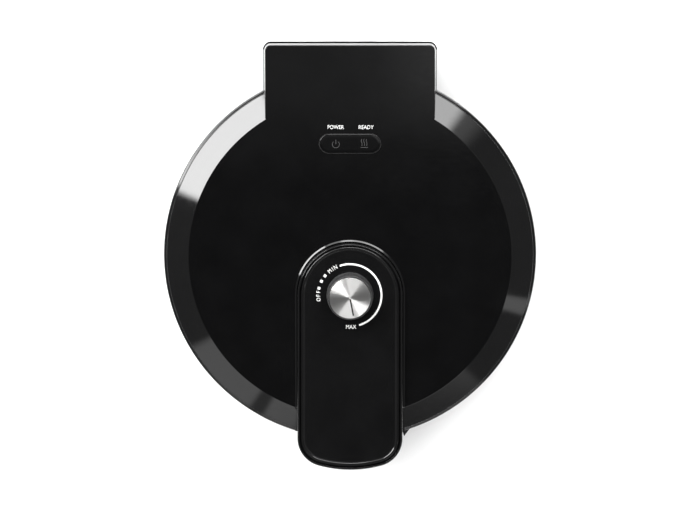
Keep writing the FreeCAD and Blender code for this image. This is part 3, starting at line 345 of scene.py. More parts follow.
@dataclass(frozen=True)
class Palette:
    """Every finish of the griddle."""

    gloss_black: Finish = Finish(
        "gloss_black", (0.002, 0.002, 0.0021), (0.05, 0.085), Grain.POLISHED, 0.8, 0.004)
    panel_black: Finish = Finish(
        "panel_black", (0.0028, 0.0028, 0.0029), (0.09, 0.14), Grain.POLISHED, 0.5, 0.004)
    satin_black: Finish = Finish(
        "satin_black", (0.011, 0.011, 0.0115), (0.32, 0.45), Grain.MOULDED, 0.45, 0.02)
    knob_black: Finish = Finish(
        "knob_black", (0.03, 0.03, 0.0305), (0.26, 0.36), Grain.MOULDED, 0.3, 0.01)
    knob_metal: Finish = Finish(
        "knob_metal", (0.8, 0.795, 0.785), (0.47, 0.55), Grain.SPUN, 0.16, 0.0008, 1.0, 0.04)
    plate_coating: Finish = Finish(
        "plate_coating", (0.014, 0.014, 0.015), (0.28, 0.5), Grain.CAST, 0.35, 0.012)
    ring_black: Finish = Finish(
        "ring_black", (0.013, 0.013, 0.013), (0.4, 0.55), Grain.MOULDED, 0.5, 0.02)
    heater_steel: Finish = Finish(
        "heater_steel", (0.16, 0.14, 0.125), (0.35, 0.6), Grain.CAST, 0.6, 0.01, 1.0)
    shield_steel: Finish = Finish(
        "shield_steel", (0.5, 0.5, 0.49), (0.3, 0.45), Grain.BRUSHED, 0.3, 0.004, 1.0)
    cover_metal: Finish = Finish(
        "cover_metal", (0.018, 0.018, 0.018), (0.35, 0.5), Grain.CAST, 0.5, 0.01)
    hinge_steel: Finish = Finish(
        "hinge_steel", (0.42, 0.43, 0.44), (0.25, 0.4), Grain.BRUSHED, 0.25, 0.003, 1.0)
    contact_brass: Finish = Finish(
        "contact_brass", (0.62, 0.5, 0.27), (0.22, 0.35), Grain.BRUSHED, 0.25, 0.002, 1.0)
    bush_white: Finish = Finish(
        "bush_white", (0.6, 0.6, 0.57), (0.4, 0.5), Grain.MOULDED, 0.5, 0.01, tone=0.06)
    ceramic_white: Finish = Finish(
        "ceramic_white", (0.62, 0.6, 0.55), (0.3, 0.5), Grain.CAST, 0.6, 0.01, tone=0.08)
    rubber_black: Finish = Finish(
        "rubber_black", (0.014, 0.014, 0.014), (0.6, 0.78), Grain.CAST, 0.4, 0.012)
    lens_smoke: Finish = Finish(
        "lens_smoke", (0.0022, 0.0022, 0.0023), (0.05, 0.08), Grain.POLISHED, 0.8, 0.002)
    lamp_amber: Finish = Finish(
        "lamp_amber", (0.5, 0.2, 0.03), (0.15, 0.25), Grain.POLISHED, 0.5, 0.002)
    lamp_green: Finish = Finish(
        "lamp_green", (0.08, 0.4, 0.12), (0.15, 0.25), Grain.POLISHED, 0.5, 0.002)
    board_green: Finish = Finish(
        "board_green", (0.02, 0.12, 0.05), (0.3, 0.4), Grain.CAST, 0.5, 0.005)
    ink_white: Finish = Finish(
        "ink_white", (0.62, 0.62, 0.61), (0.42, 0.55), Grain.PRINTED, 0.3, 0.004, tone=0.06)
    ink_grey: Finish = Finish(
        "ink_grey", (0.03, 0.03, 0.03), (0.35, 0.5), Grain.PRINTED, 0.3, 0.004, tone=0.1)
    # Near-black matte: painted shade on the ring round the indicator window, standing in for the
    # gap; also the real black of the knob's pointer line.
    gap_black: Finish = Finish(
        "gap_black", (0.0015, 0.0015, 0.0015), (0.6, 0.8), Grain.MOULDED, 0.5, 0.01)


PALETTE = Palette()


# ---- meshes --------------------------------------------------------------------------------

def place(name: str, data: bpy.types.ID) -> bpy.types.Object:
    """Puts a mesh, a text, a lamp or a camera into the scene."""
    made = bpy.data.objects.new(name, data)
    bpy.context.scene.collection.objects.link(made)
    return made


def spots_of(mesh: bpy.types.Mesh) -> np.ndarray:
    """Reads the places of a mesh's vertices, in the mesh's own unit."""
    spots = np.zeros(len(mesh.vertices) * 3, np.float32)
    mesh.vertices.foreach_get("co", spots)
    return spots.reshape(-1, 3)


@dataclass
class Skin:
    """Surface of one piece, gathered from grids of points in millimetres."""

    points: list[np.ndarray] = field(default_factory=list)
    faces: list[np.ndarray] = field(default_factory=list)
    count: int = 0

    def grid(self, points: np.ndarray, closed: bool = False,
             core: tuple[float, float, float] | None = None, hollow: bool = False) -> "Skin":
        """Adds a grid of four-sided faces.

        Args:
            points: Array of rows x columns x 3.
            closed: True if the last column joins the first.
            core: Point that the faces look away from; None leaves them as they come.
            hollow: True if they look towards that point instead.

        Returns:
            The skin itself, so that calls can be chained.
        """
        rows, columns = points.shape[:2]
        index = np.arange(rows * columns).reshape(rows, columns) + self.count
        if closed:
            index = np.concatenate((index, index[:, :1]), axis=1)
        quads = np.stack((index[:-1, :-1], index[:-1, 1:], index[1:, 1:], index[1:, :-1]), -1)
        quads = quads.reshape(-1, 4)
        flat = points.reshape(-1, 3)
        if core is not None:
            corner = flat[quads - self.count]
            normal = np.cross(corner[:, 2] - corner[:, 0], corner[:, 3] - corner[:, 1])
            outward = (normal * (corner.mean(axis=1) - np.array(core))).sum() > 0
            if outward == hollow:
                quads = quads[:, ::-1]
        self.points.append(flat)
        self.faces.append(quads)
        self.count += len(flat)
        return self

    def lathe(self, points: np.ndarray) -> "Skin":
        """Adds closed rows whose first and last ring are each drawn in to their middle."""
        first = np.broadcast_to(points[0].mean(axis=0), points[:1].shape)
        last = np.broadcast_to(points[-1].mean(axis=0), points[:1].shape)
        return self.grid(np.concatenate((first, points, last)), closed=True)

    def ring(self, points: np.ndarray) -> "Skin":
        """Adds closed rows whose last row joins the first, as on a tyre."""
        return self.grid(np.concatenate((points, points[:1])), closed=True)

    def mesh(self, name: str, sharp: float = 32, recalculate: bool = True) -> bpy.types.Object:
        """Makes the mesh object.

        Args:
            name: Name of the piece.
            sharp: Angle in degrees past which an edge between two faces stays sharp.
            recalculate: True to turn all faces of a closed surface outward.

        Returns:
            The new object, linked to the scene.
        """
        made = bpy.data.meshes.new(name)
        made.from_pydata(np.concatenate(self.points) * MM, [], np.concatenate(self.faces).tolist())
        work = bmesh.new()
        work.from_mesh(made)
        bmesh.ops.remove_doubles(work, verts=work.verts, dist=2e-6)
        bmesh.ops.dissolve_degenerate(work, edges=work.edges, dist=1e-6)
        if recalculate:
            bmesh.ops.recalc_face_normals(work, faces=work.faces)
        work.to_mesh(made)
        work.free()
        made.shade_smooth()
        made.set_sharp_from_angle(angle=math.radians(sharp))
        edge_of = np.zeros(len(made.loops), np.int32)
        made.loops.foreach_get("edge_index", edge_of)
        marks = made.attributes.get("sharp_edge") or made.attributes.new(
            "sharp_edge", "BOOLEAN", "EDGE")
        is_sharp = np.zeros(len(made.edges), bool)
        marks.data.foreach_get("value", is_sharp)
        open_side = np.bincount(edge_of, minlength=len(made.edges)) == 1
        marks.data.foreach_set("value", is_sharp | open_side)
        return place(name, made)


def fit(piece: bpy.types.Object, finish: Finish, body: str,
        nodes: tuple[str, ...] = ()) -> bpy.types.Object:
    """Dresses a new piece and hangs it on its body.

    Args:
        piece: The mesh object.
        finish: What it is made of.
        body: CAD body that it moves with.
        nodes: CAD nodes that it stands for.

    Returns:
        The piece.
    """
    piece.data.materials.clear()
    piece.data.materials.append(finish.material())
    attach(piece, body)
    if nodes:
        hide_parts(*nodes)
    log.info("%s: %d faces, on %s", piece.name, len(piece.data.polygons), body)
    return piece


def wall(piece: bpy.types.Object, thickness: float) -> None:
    """Gives an open surface a wall on its inner side, in millimetres."""
    solid = piece.modifiers.new("wall", "SOLIDIFY")
    solid.thickness = thickness * MM
    solid.offset = -1


# ---- lid -----------------------------------------------------------------------------------

@dataclass
class LidCover:
    """Gloss cover: flat disc, sloping ring, rim, hinge housing and the slot for the handle."""

    disc: float = 146.8
    top: float = 91.0
    slope_end: float = 167.2
    slope_bottom: float = 80.0
    rim: float = 170.2
    bottom: float = 62.0
    blend: float = 0.2
    border: float = 146.4
    housing_half: float = 79.0
    housing_rear: float = 194.9
    housing_corner: float = 7.3
    housing_edge: float = 1.0
    housing_inset: float = 2.4
    bead: float = 0.9
    rear_bottom: float = 73.0
    slot_half: float = 48.3
    slot_edge: float = 2.0
    slot_rise: float = 0.78
    slot_centre: float = -34.3
    slot_floor: float = 73.0
    sheet: float = 2.2
    tuck: float = 5.0
    side_points: int = 28
    round_points: int = 73
    core: tuple[float, float, float] = (0.0, 0.0, 20.0)

    def height(self, radius: np.ndarray) -> np.ndarray:
        """Height of the disc and slope: top - s (u + w)^2 / 4w across the blend, top - s u past it.

        Here u is the distance past the disc's edge, s the slope and w half the blend's width.
        """
        past = radius - self.disc
        slope = (self.top - self.slope_bottom) / (self.slope_end - self.disc)
        bend = (np.clip(past, -self.blend, self.blend) + self.blend) ** 2 / (4 * self.blend)
        return self.top - slope * (bend + np.maximum(past - self.blend, 0))

    def rim_rows(self) -> np.ndarray:
        """Radius and height of the rows from the disc's border to the lower edge."""
        slope = np.concatenate((
            [self.border], self.disc + self.blend * np.linspace(-1, 1, 7),
            np.linspace(self.disc + self.blend + 0.4, self.slope_end - 0.8, 12)))
        end = self.height(np.array([self.slope_end - 0.4]))[0]
        lip = soften([(self.slope_end - 0.8, end + 0.2, 0), (self.slope_end, end - 0.2, 0.35),
                      (self.slope_end + 0.15, end - 2.2, 0.25), (self.rim - 0.2, end - 3.0, 1.0),
                      (self.rim, end - 7, 0.5), (self.rim, self.bottom, 0)])
        return np.concatenate((np.stack((slope, self.height(slope)), -1), lip[1:]))

    def slope_half(self, side: int) -> np.ndarray:
        """One half of the sloping ring and rim, from the slot round to under the housing.

        In the row of radius r the angle runs evenly from -arccos(slot / r) to
        arccos(housing / r), mirrored for the left half.
        """
        rows = self.rim_rows()
        radius, height = rows[:, :1], rows[:, 1:]
        near = -np.arccos((self.slot_half + self.slot_edge) / radius)
        far = np.arccos((self.housing_half - self.tuck) / radius)
        turn = near + (far - near) * np.linspace(0, 1, 90)[None, :]
        return raised(polar(radius, turn) * (side, 1), height)

    def slot_path(self, out: np.ndarray) -> np.ndarray:
        """Path round the slot from its right front to its left front, for several offsets.

        Along the sides it has the rows of the sloping ring, and its rear is a half circle.
        """
        widest = self.slot_half + self.slot_edge
        rows = self.rim_rows()[:, 0]
        rows = np.unique(np.round(rows, 6))[::-1]
        side = -np.sqrt(rows ** 2 - widest ** 2)
        side = np.concatenate((side, np.linspace(side[-1], self.slot_centre, 24)[1:-1]))
        turn = np.radians(np.linspace(0, 180, self.round_points))
        reach = self.slot_half + out[:, None]
        across = np.concatenate((np.repeat(reach, len(side), 1), reach * np.cos(turn),
                                 -np.repeat(reach, len(side), 1)), axis=1)
        along = np.concatenate((np.broadcast_to(side, (len(out), len(side))),
                                self.slot_centre + reach * np.sin(turn),
                                np.broadcast_to(side[::-1], (len(out), len(side)))), axis=1)
        return np.stack((across, along), -1)

    def slot_wall(self) -> np.ndarray:
        """Raised lip with an outward slope, and upright wall of the slot."""
        rows = soften([(self.slot_edge, 0, 0), (self.slot_edge - 0.12, 0, 0.1),
                       (0.5, -self.slot_rise, 0.2), (0.12, -self.slot_rise, 0.1),
                       (0, 2, 0.2), (0, 4, 0)], 5)
        path = self.slot_path(rows[:, 0])
        radius = np.hypot(path[..., 0], path[..., 1])
        drop = rows[:, 1, None]
        drop = np.where((drop < 0) & (radius > self.disc), 0, drop)
        heights = self.height(radius) - drop
        heights[-1] = self.slot_floor
        return raised(path, heights)

    def disc_face(self) -> np.ndarray:
        """Flat face between the slot's edge and the disc's border, ruled column by column."""
        inner = self.slot_path(np.array([self.slot_edge]))[0]
        inner = inner[np.hypot(inner[:, 0], inner[:, 1]) <= self.border + 1e-6]
        start = math.acos((self.slot_half + self.slot_edge) / self.border)
        turn = np.linspace(-start, math.pi + start, len(inner))
        outer = polar(self.border, turn)
        share = np.append(np.append(0, np.linspace(0.006, 0.97, 10)), 1)[:, None, None]
        spots = inner[None] * (1 - share) + outer[None] * share
        return raised(spots, self.height(np.hypot(spots[..., 0], spots[..., 1])))

    def housing_path(self, inset: np.ndarray) -> np.ndarray:
        """Path round the housing from right to left, starting and ending on the disc's border."""
        half = self.housing_half - inset[:, None]
        start = np.sqrt(self.border ** 2 - half ** 2)
        back = self.housing_rear - self.housing_corner
        share = np.linspace(0, 1, self.side_points)[None, :]
        side = start + (back - start) * share
        turn = np.radians(np.linspace(0, 90, 13))[None, :]
        reach = self.housing_corner - inset[:, None]
        middle = self.housing_half - self.housing_corner
        corner_x, corner_y = middle + reach * np.cos(turn), back + reach * np.sin(turn)
        rear_x = np.linspace(middle, -middle, 40)[None, 1:-1].repeat(len(inset), 0)
        rear_y = self.housing_rear - inset[:, None] + 0 * rear_x
        across = np.concatenate((half + 0 * side, corner_x, rear_x, -corner_x[:, ::-1],
                                 -(half + 0 * side)), axis=1)
        along = np.concatenate((side, corner_y, rear_y, corner_y[:, ::-1], side[:, ::-1]), axis=1)
        return np.stack((across, along), -1)

    def housing_rows(self) -> np.ndarray:
        """Inset and height of the housing's wall: round edge, leaning wall and bead at its foot."""
        return soften([
            (self.housing_inset + self.housing_edge, self.top, 0),
            (self.housing_inset, self.top, self.housing_edge * 0.9),
            (self.bead, 71.0, 0.1), (0.1, 69.8, 0.6), (0, self.bottom, 0)], 6)

    def housing(self) -> np.ndarray:
        """Housing: flat top from the disc's border, round edge, and wall down to its bottom."""
        wall_profile = self.housing_rows()
        path = self.housing_path(wall_profile[:, 0])
        edge = wall_profile[:, 1, None]
        columns = np.arange(path.shape[1])
        rear = (columns >= self.side_points) & (columns < path.shape[1] - self.side_points)
        sides = raised(path, np.where(rear, np.maximum(edge, self.rear_bottom), edge))
        begin = math.acos((self.housing_half - wall_profile[0, 0]) / self.border)
        turn = np.linspace(begin, math.pi - begin, path.shape[1])
        arc = polar(self.border, turn)
        share = np.linspace(0, 1, 10)[:-1, None, None]
        spots = arc[None] * (1 - share) + path[0][None] * share
        return np.concatenate((raised(spots, self.top), sides))

    def front_band(self) -> np.ndarray:
        """Rim under the handle, and the slot's floor behind it."""
        reach = math.acos((self.slot_half + self.slot_edge) / self.rim)
        turn = np.linspace(-reach, reach - math.pi, 40)[None, :]
        ring = polar(self.rim, turn)
        low, high = raised(ring, self.bottom), raised(ring, self.slot_floor)
        back = high.copy()
        back[..., 1] = self.slot_centre
        return np.concatenate((low, high, back))

    def slot_end(self) -> np.ndarray:
        """Half-round rear part of the slot's floor."""
        turn = np.radians(np.linspace(0, 180, self.round_points))[None, :]
        reach = np.array([[0.0], [self.slot_half]])
        return raised(polar(reach, turn) + (0, self.slot_centre), self.slot_floor)

    def build(self) -> bpy.types.Object:
        """Makes the cover as one surface with a wall."""
        skin = Skin()
        skin.grid(self.disc_face(), core=self.core)
        for side in (1, -1):
            skin.grid(self.slope_half(side), core=self.core)
        skin.grid(self.housing(), core=(0, 150, 20))
        skin.grid(self.slot_wall(), core=(0, self.slot_centre - 60, 85), hollow=True)
        skin.grid(self.front_band(), core=self.core)
        skin.grid(self.slot_end(), core=self.core)
        cover = skin.mesh("lid_cover_shell", recalculate=False)
        wall(cover, self.sheet)
        return fit(cover, PALETTE.gloss_black, "lid", ("lid_cover",))


@dataclass
class Handle:
    """Handle of the lid: raised frame, grip and inset panel."""

    half: float = 47.8
    rear_centre: float = -34.3
    corner: float = 26.0
    corner_side: float = 22.0
    corner_front: float = -166.5
    end_radius: float = 108.0
    end_centre: float = -87.5
    end_turn: float = 254.4
    top: float = 97.0
    floor: float = 80.0
    grip_bottom: float = 73.0
    grip_start: float = -158.0
    wall: float = 2.1
    panel_inset: float = 2.7
    bead: float = 4.0
    bead_rise: float = 1.1
    panel_top: float = 95.0

    def front(self) -> tuple[Arc, ...]:
        """Corners and flat end curve at the front."""
        return (Arc(-self.corner_side, self.corner_front, self.corner, 180, self.end_turn),
                Arc(0, self.end_centre, self.end_radius, self.end_turn, 540 - self.end_turn),
                Arc(self.corner_side, self.corner_front, self.corner, 540 - self.end_turn, 360))

    def outline(self) -> Outline:
        """Whole outline: half circle at the rear, straight sides and rounded front."""
        return Outline((Arc(0, self.rear_centre, self.half, 0, 180), *self.front()), 2.5, 24)

    def grip_outline(self) -> Outline:
        """Outline of the deeper grip in front of the rim."""
        small = 2.5
        rear = self.grip_start - small
        return Outline((Arc(self.half - small, rear, small, 0, 90),
                        Arc(small - self.half, rear, small, 90, 180), *self.front()), 2.5, 10)

    def build(self) -> list[bpy.types.Object]:
        """Makes the frame with its grip, and the panel."""
        ledge = self.panel_top - 3.2
        profile = soften([
            (self.wall + 2, self.floor, 0), (0, self.floor, 0.6), (0, self.top - 1.3, 0.3),
            (0.35, self.top - 0.8, 0.25), (1.3, self.top, 0.3), (self.wall, self.top, 0.25),
            (self.wall, ledge, 0.2), (self.wall + 2, ledge, 0)], 5)
        frame_skin = Skin().ring(carry(self.outline(), profile))
        grip = soften([(3, self.floor + 6, 0), (0.4, self.floor + 6, 0), (0, self.floor + 1, 0),
                       (0, self.grip_bottom, 1.6), (3, self.grip_bottom, 0)], 6)
        frame_skin.lathe(carry(self.grip_outline(), grip))
        made = [fit(frame_skin.mesh("handle_frame_rim"), PALETTE.gloss_black, "lid",
                    ("handle_frame",))]
        crest = self.panel_inset + self.bead / 2
        panel = soften([
            (self.panel_inset + 1, ledge + 0.2, 0), (self.panel_inset, ledge + 0.2, 0),
            (self.panel_inset, self.panel_top - 0.3, 0.25),
            (crest, self.panel_top + self.bead_rise, 1.4),
            (self.panel_inset + self.bead, self.panel_top, 0.8),
            (self.panel_inset + self.bead + 3, self.panel_top, 0)], 8)
        made.append(fit(Skin().lathe(carry(self.outline(), panel)).mesh("handle_panel_face"),
                        PALETTE.panel_black, "lid", ("handle_panel",)))
        return made


@dataclass
class Indicator:
    """Smoked window of the two lamps, with its icons, the words behind it, and a matte black ring
    of painted shade for the gap round it.
    """

    rear: float = 103.6
    length: float = 55.8
    width: float = 17.7
    top: float = 91.35
    foot: float = 90.4
    # Foot and top of the thin ring of painted shade round the window.
    seat_foot: float = 90.5
    gap_shade_top: float = 91.06
    lamp_side: float = 12.8
    icon: float = 7.6
    word_rear: float = 118.6
    word_height: float = 3.5

    def power_icon(self) -> list[np.ndarray]:
        """Open ring with an upright bar through its gap, as paths in the window's plane."""
        turn = np.radians(np.linspace(130, 410, 40))
        radius = self.icon * 0.42
        ring = polar(radius, turn) - (0, 0.6)
        return [ring, np.array([(0, -0.4), (0, self.icon * 0.5)])]

    def heat_icon(self) -> list[np.ndarray]:
        """Three waves x + 0.38 sin(2 pi t) over a bar."""
        t = np.linspace(0, 1, 24)
        wave = 0.38 * np.sin(2 * np.pi * t)
        rise = -self.icon * 0.25 + t * self.icon * 0.8
        paths = [np.stack((x + wave, rise), -1) for x in (-2.2, 0, 2.2)]
        return paths + [np.array([(-3.2, -self.icon * 0.45), (3.2, -self.icon * 0.45)])]

    def build(self) -> list[bpy.types.Object]:
        """Makes the window, a matte black ring round it that paints the shade of the gap, its icons
        and the words.
        """
        outline = stadium(self.length, self.width, 0, self.rear)
        edge = soften([(3, self.foot, 0), (0.3, self.foot, 0), (0.3, self.top, 0.55),
                       (3, self.top, 0)], 6)
        lens = Skin().lathe(carry(outline, edge)).mesh("indicator_window")
        made = [fit(lens, PALETTE.lens_smoke, "lid", ("indicator_lens",))]
        # Painted shade: a thin matte near-black ring stands just proud of the lid round the
        # window's edge, in place of the dark gap between lens and lid.
        gap_shade = soften([(0.4, self.seat_foot, 0), (-0.25, self.seat_foot, 0),
                       (-0.25, self.gap_shade_top, 0.05), (0.4, self.gap_shade_top, 0)], 3)
        made.append(fit(Skin().ring(carry(outline, gap_shade)).mesh("indicator_window_gap_shade"),
                        PALETTE.gap_black, "lid"))
        ink = Print(PALETTE.ink_grey, self.top)
        for name, paths, side in (("power_icon", self.power_icon(), -self.lamp_side),
                                  ("heat_icon", self.heat_icon(), self.lamp_side)):
            moved = [path + np.array((side, self.rear)) for path in paths]
            made.append(fit(ink.strokes(name, moved, 0.55), ink.finish, "lid"))
        words = Print(PALETTE.ink_white, LidCover.top)
        for text, side in (("POWER", -12.9), ("READY", 14.6)):
            made.append(fit(words.word(f"word_{text.lower()}", text, self.word_height,
                                       (side, self.word_rear), 0, 0.86), words.finish, "lid"))
        return made


@dataclass
class Print:
    """Ink printed on a face: strokes and words, a few hundredths of a millimetre thick."""

    finish: Finish
    level: float
    film: float = 0.05
    root: float = 0.1

    def strokes(self, name: str, paths: list[np.ndarray], width: float) -> bpy.types.Object:
        """Makes thin ribbons along paths.

        The two sides of a ribbon are the path plus and minus half its width along the path's
        normal, at the foot and at the top of the film.

        Args:
            name: Name of the piece.
            paths: Arrays of points x 2.
            width: Width of the strokes.

        Returns:
            The new object.
        """
        skin = Skin()
        for path in paths:
            along = np.gradient(path, axis=0)
            along /= np.linalg.norm(along, axis=1, keepdims=True)
            across = np.stack((-along[:, 1], along[:, 0]), -1) * width / 2
            low, high = self.level - self.root, self.level + self.film
            rows = [raised(path + side * across, z)
                    for side, z in ((-1, low), (1, low), (1, high), (-1, high))]
            skin.grid(np.stack(rows, axis=1), closed=True)
            for end in (0, -1):
                corners = np.stack([row[end] for row in rows])
                skin.grid(corners[[[0, 1], [3, 2]]])
        return skin.mesh(name)

    def word(self, name: str, text: str, tall: float, at: tuple[float, float],
             turn: float = 0.0, squeeze: float = 1.0) -> bpy.types.Object:
        """Makes a word as a thin solid, centred on a point and turned about it.

        Args:
            name: Name of the piece.
            text: The word.
            tall: Height of a capital letter.
            at: Middle of the word.
            turn: Degrees anticlockwise.
            squeeze: Width of the letters, 1 as drawn.

        Returns:
            The new object.
        """
        curve = bpy.data.curves.new(name, "FONT")
        curve.body = text
        curve.align_x, curve.align_y = "CENTER", "CENTER"
        curve.extrude = 0.02
        curve.resolution_u = 4
        writer = place(name + "_text", curve)
        bpy.context.view_layer.update()
        shape = writer.evaluated_get(bpy.context.evaluated_depsgraph_get())
        made = bpy.data.meshes.new_from_object(shape)
        bpy.data.objects.remove(writer)
        made.name = name
        spots = spots_of(made)
        high, low = spots.max(axis=0), spots.min(axis=0)
        scale = tall / (high[1] - low[1])
        flat = (spots[:, :2] - (high[:2] + low[:2]) / 2) * scale * np.array((squeeze, 1))
        c, s = math.cos(math.radians(turn)), math.sin(math.radians(turn))
        placed = flat @ np.array(((c, s), (-s, c))) + np.array(at)
        level = np.where(spots[:, 2] > 0, self.level + self.film, self.level - self.root)
        made.vertices.foreach_set("co", (np.column_stack((placed, level)) * MM).ravel())
        made.update()
        return place(name, made)


@dataclass
class Dial:
    """Printed scale on the panel: arc, three marks, and the words OFF, MIN and MAX."""

    centre: float = -34.3
    arc_radius: float = 28.6
    arc_start: float = 109.0
    arc_end: float = -73.0
    stroke: float = 1.65
    mark: float = 2.4
    mark_turns: tuple[float, ...] = (141.8, 153.5, 166.9)
    word_radius: float = 28.9
    letter: float = 3.6
    squeeze: float = 0.85
    max_turn: float = -88.0
    curved: tuple[tuple[str, tuple[float, ...]], ...] = (
        ("OFF", (187.6, 180.4, 173.6)), ("MIN", (129.6, 123.2, 117.0)))

    def spot(self, radius: float, turn: float) -> tuple[float, float]:
        """Point at an angle round the knob."""
        angle = math.radians(turn)
        return radius * math.cos(angle), self.centre + radius * math.sin(angle)

    def build(self) -> list[bpy.types.Object]:
        """Prints the scale."""
        ink = Print(PALETTE.ink_white, Handle.panel_top)
        turn = np.radians(np.linspace(self.arc_start, self.arc_end, 120))
        arc = polar(self.arc_radius, turn) + (0, self.centre)
        marks = []
        for angle in self.mark_turns:
            a = math.radians(angle)
            half = np.array((-math.sin(a), math.cos(a))) * self.mark / 2
            middle = np.array(self.spot(self.word_radius, angle))
            marks.append(np.stack((middle - half, middle + half)))
        made = [fit(ink.strokes("dial_arc", [arc], self.stroke), ink.finish, "lid"),
                fit(ink.strokes("dial_marks", marks, self.mark), ink.finish, "lid")]
        for text, turns in self.curved:
            for number, (letter, angle) in enumerate(zip(text, turns)):
                made.append(fit(ink.word(f"dial_{text.lower()}_{number}", letter, self.letter,
                                         self.spot(self.word_radius, angle), angle - 90,
                                         self.squeeze),
                                ink.finish, "lid"))
        made.append(fit(ink.word("dial_max", "MAX", self.letter,
                                 self.spot(self.word_radius, self.max_turn), 0, self.squeeze),
                        ink.finish, "lid"))
        return made


@dataclass
class Knob:
    """Ribbed knob with a spun metal cap and a dark pointer line."""

    centre: float = -34.3
    bottom: float = 96.0
    radius: float = 21.3
    top_radius: float = 20.2
    top: float = 113.0
    cap_radius: float = 18.5
    cap_top: float = 114.6
    ribs: int = 96
    rib_depth: float = 0.35
    pointer_start: float = 0.6
    pointer_end: float = 16.2
    pointer_width: float = 1.3
    pointer_turn: float = -79.0

    def body(self) -> bpy.types.Object:
        """Ribbed skirt with a plain lower edge and a groove round the cap."""
        profile = soften([
            (self.radius - 4, self.bottom, 0), (self.radius, self.bottom, 0.5),
            (self.radius, self.bottom + 2.2, 0.2), (self.radius - 0.25, self.bottom + 2.6, 0.2),
            (self.top_radius + 0.05, self.top - 1.2, 0.4), (self.top_radius - 0.4, self.top, 0.3),
            (self.cap_radius + 0.75, self.top, 0.2), (self.cap_radius + 0.6, self.top - 1.2, 0.2),
            (self.cap_radius - 1, self.top - 1.3, 0)], 5)
        ribbed = (profile[:, 1] > self.bottom + 2.5) & (profile[:, 0] > self.top_radius - 0.3)
        wave = (self.ribs, np.where(ribbed, self.rib_depth, 0.0))
        step = 360 / self.ribs / 6
        skin = Skin().lathe(spin(profile, 0, self.centre, step, wave))
        return skin.mesh("knob_skirt", 40)

    def cap(self) -> bpy.types.Object:
        """Metal cap with a tiny round edge, and a map of radius and turn for its rings."""
        profile = soften([
            (self.cap_radius - 1.5, self.top - 1, 0), (self.cap_radius, self.top - 1, 0.1),
            (self.cap_radius, self.cap_top, 0.5), (self.cap_radius - 1.5, self.cap_top, 0),
            (1, self.cap_top, 0)], 6)
        cap = Skin().lathe(spin(profile, 0, self.centre)).mesh("knob_cap_disc")
        mesh = cap.data
        spots = spots_of(mesh) / MM - (0, self.centre, 0)
        corner = np.zeros(len(mesh.loops), np.int32)
        mesh.loops.foreach_get("vertex_index", corner)
        totals = np.zeros(len(mesh.polygons), np.int32)
        mesh.polygons.foreach_get("loop_total", totals)
        owner = np.repeat(np.arange(len(totals)), totals)
        radius = np.hypot(spots[:, 0], spots[:, 1])[corner]
        middle = np.stack([np.bincount(owner, spots[corner, axis]) for axis in (0, 1)], -1)
        base = np.arctan2(middle[:, 1], middle[:, 0])[owner]
        own = np.arctan2(spots[:, 1], spots[:, 0])[corner]
        turn = base + (own - base + np.pi) % (2 * np.pi) - np.pi
        turn = np.where(radius < 1e-3, base, turn)
        layer = mesh.uv_layers.new(name="turned")
        layer.data.foreach_set("uv", np.stack((radius * MM, turn), -1).astype(np.float32).ravel())
        return cap

    def build(self) -> list[bpy.types.Object]:
        """Makes the knob's pieces."""
        made = [fit(self.body(), PALETTE.knob_black, "knob", ("knob_body",)),
                fit(self.cap(), PALETTE.knob_metal, "knob", ("knob_cap",))]
        angle = math.radians(self.pointer_turn)
        way = np.array((math.cos(angle), math.sin(angle)))
        path = np.stack([way * reach + (0, self.centre)
                         for reach in (self.pointer_start, self.pointer_end)])
        pointer = Print(PALETTE.gap_black, self.cap_top).strokes(
            "knob_pointer_line", [path], self.pointer_width)
        made.append(fit(pointer, PALETTE.gap_black, "knob", ("knob_pointer",)))
        return made


# ---- carried-over CAD nodes ----------------------------------------------------------------

@dataclass
class Hardware:
    """CAD nodes that keep their own shape and only get their finish."""

    def build(self) -> None:
        """Dresses every CAD node that no new piece stands for."""
        for name, node in sorted(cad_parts.items()):
            if node.hide_render:
                continue
            slot = node.data.materials[0].name.split(".")[0]
            finish = getattr(PALETTE, slot)
            node.data.materials[0] = finish.material()
            log.info("%s keeps its shape, in %s", name, finish.name)


# ---- studio --------------------------------------------------------------------------------

@dataclass(frozen=True)
class Glow:
    """Soft-edged bright area of the studio, in degrees of turn and of height."""

    turn: float
    half_turn: float
    rise: float
    half_rise: float
    power: float
    soft_turn: float = 3.0
    soft_rise: float = 4.0


@dataclass(frozen=True)
class Panel:
    """Soft-edged bright area overhead, by the level parts of the direction towards it."""

    x: float
    y: float
    half_x: float
    half_y: float
    power: float
    soft: float


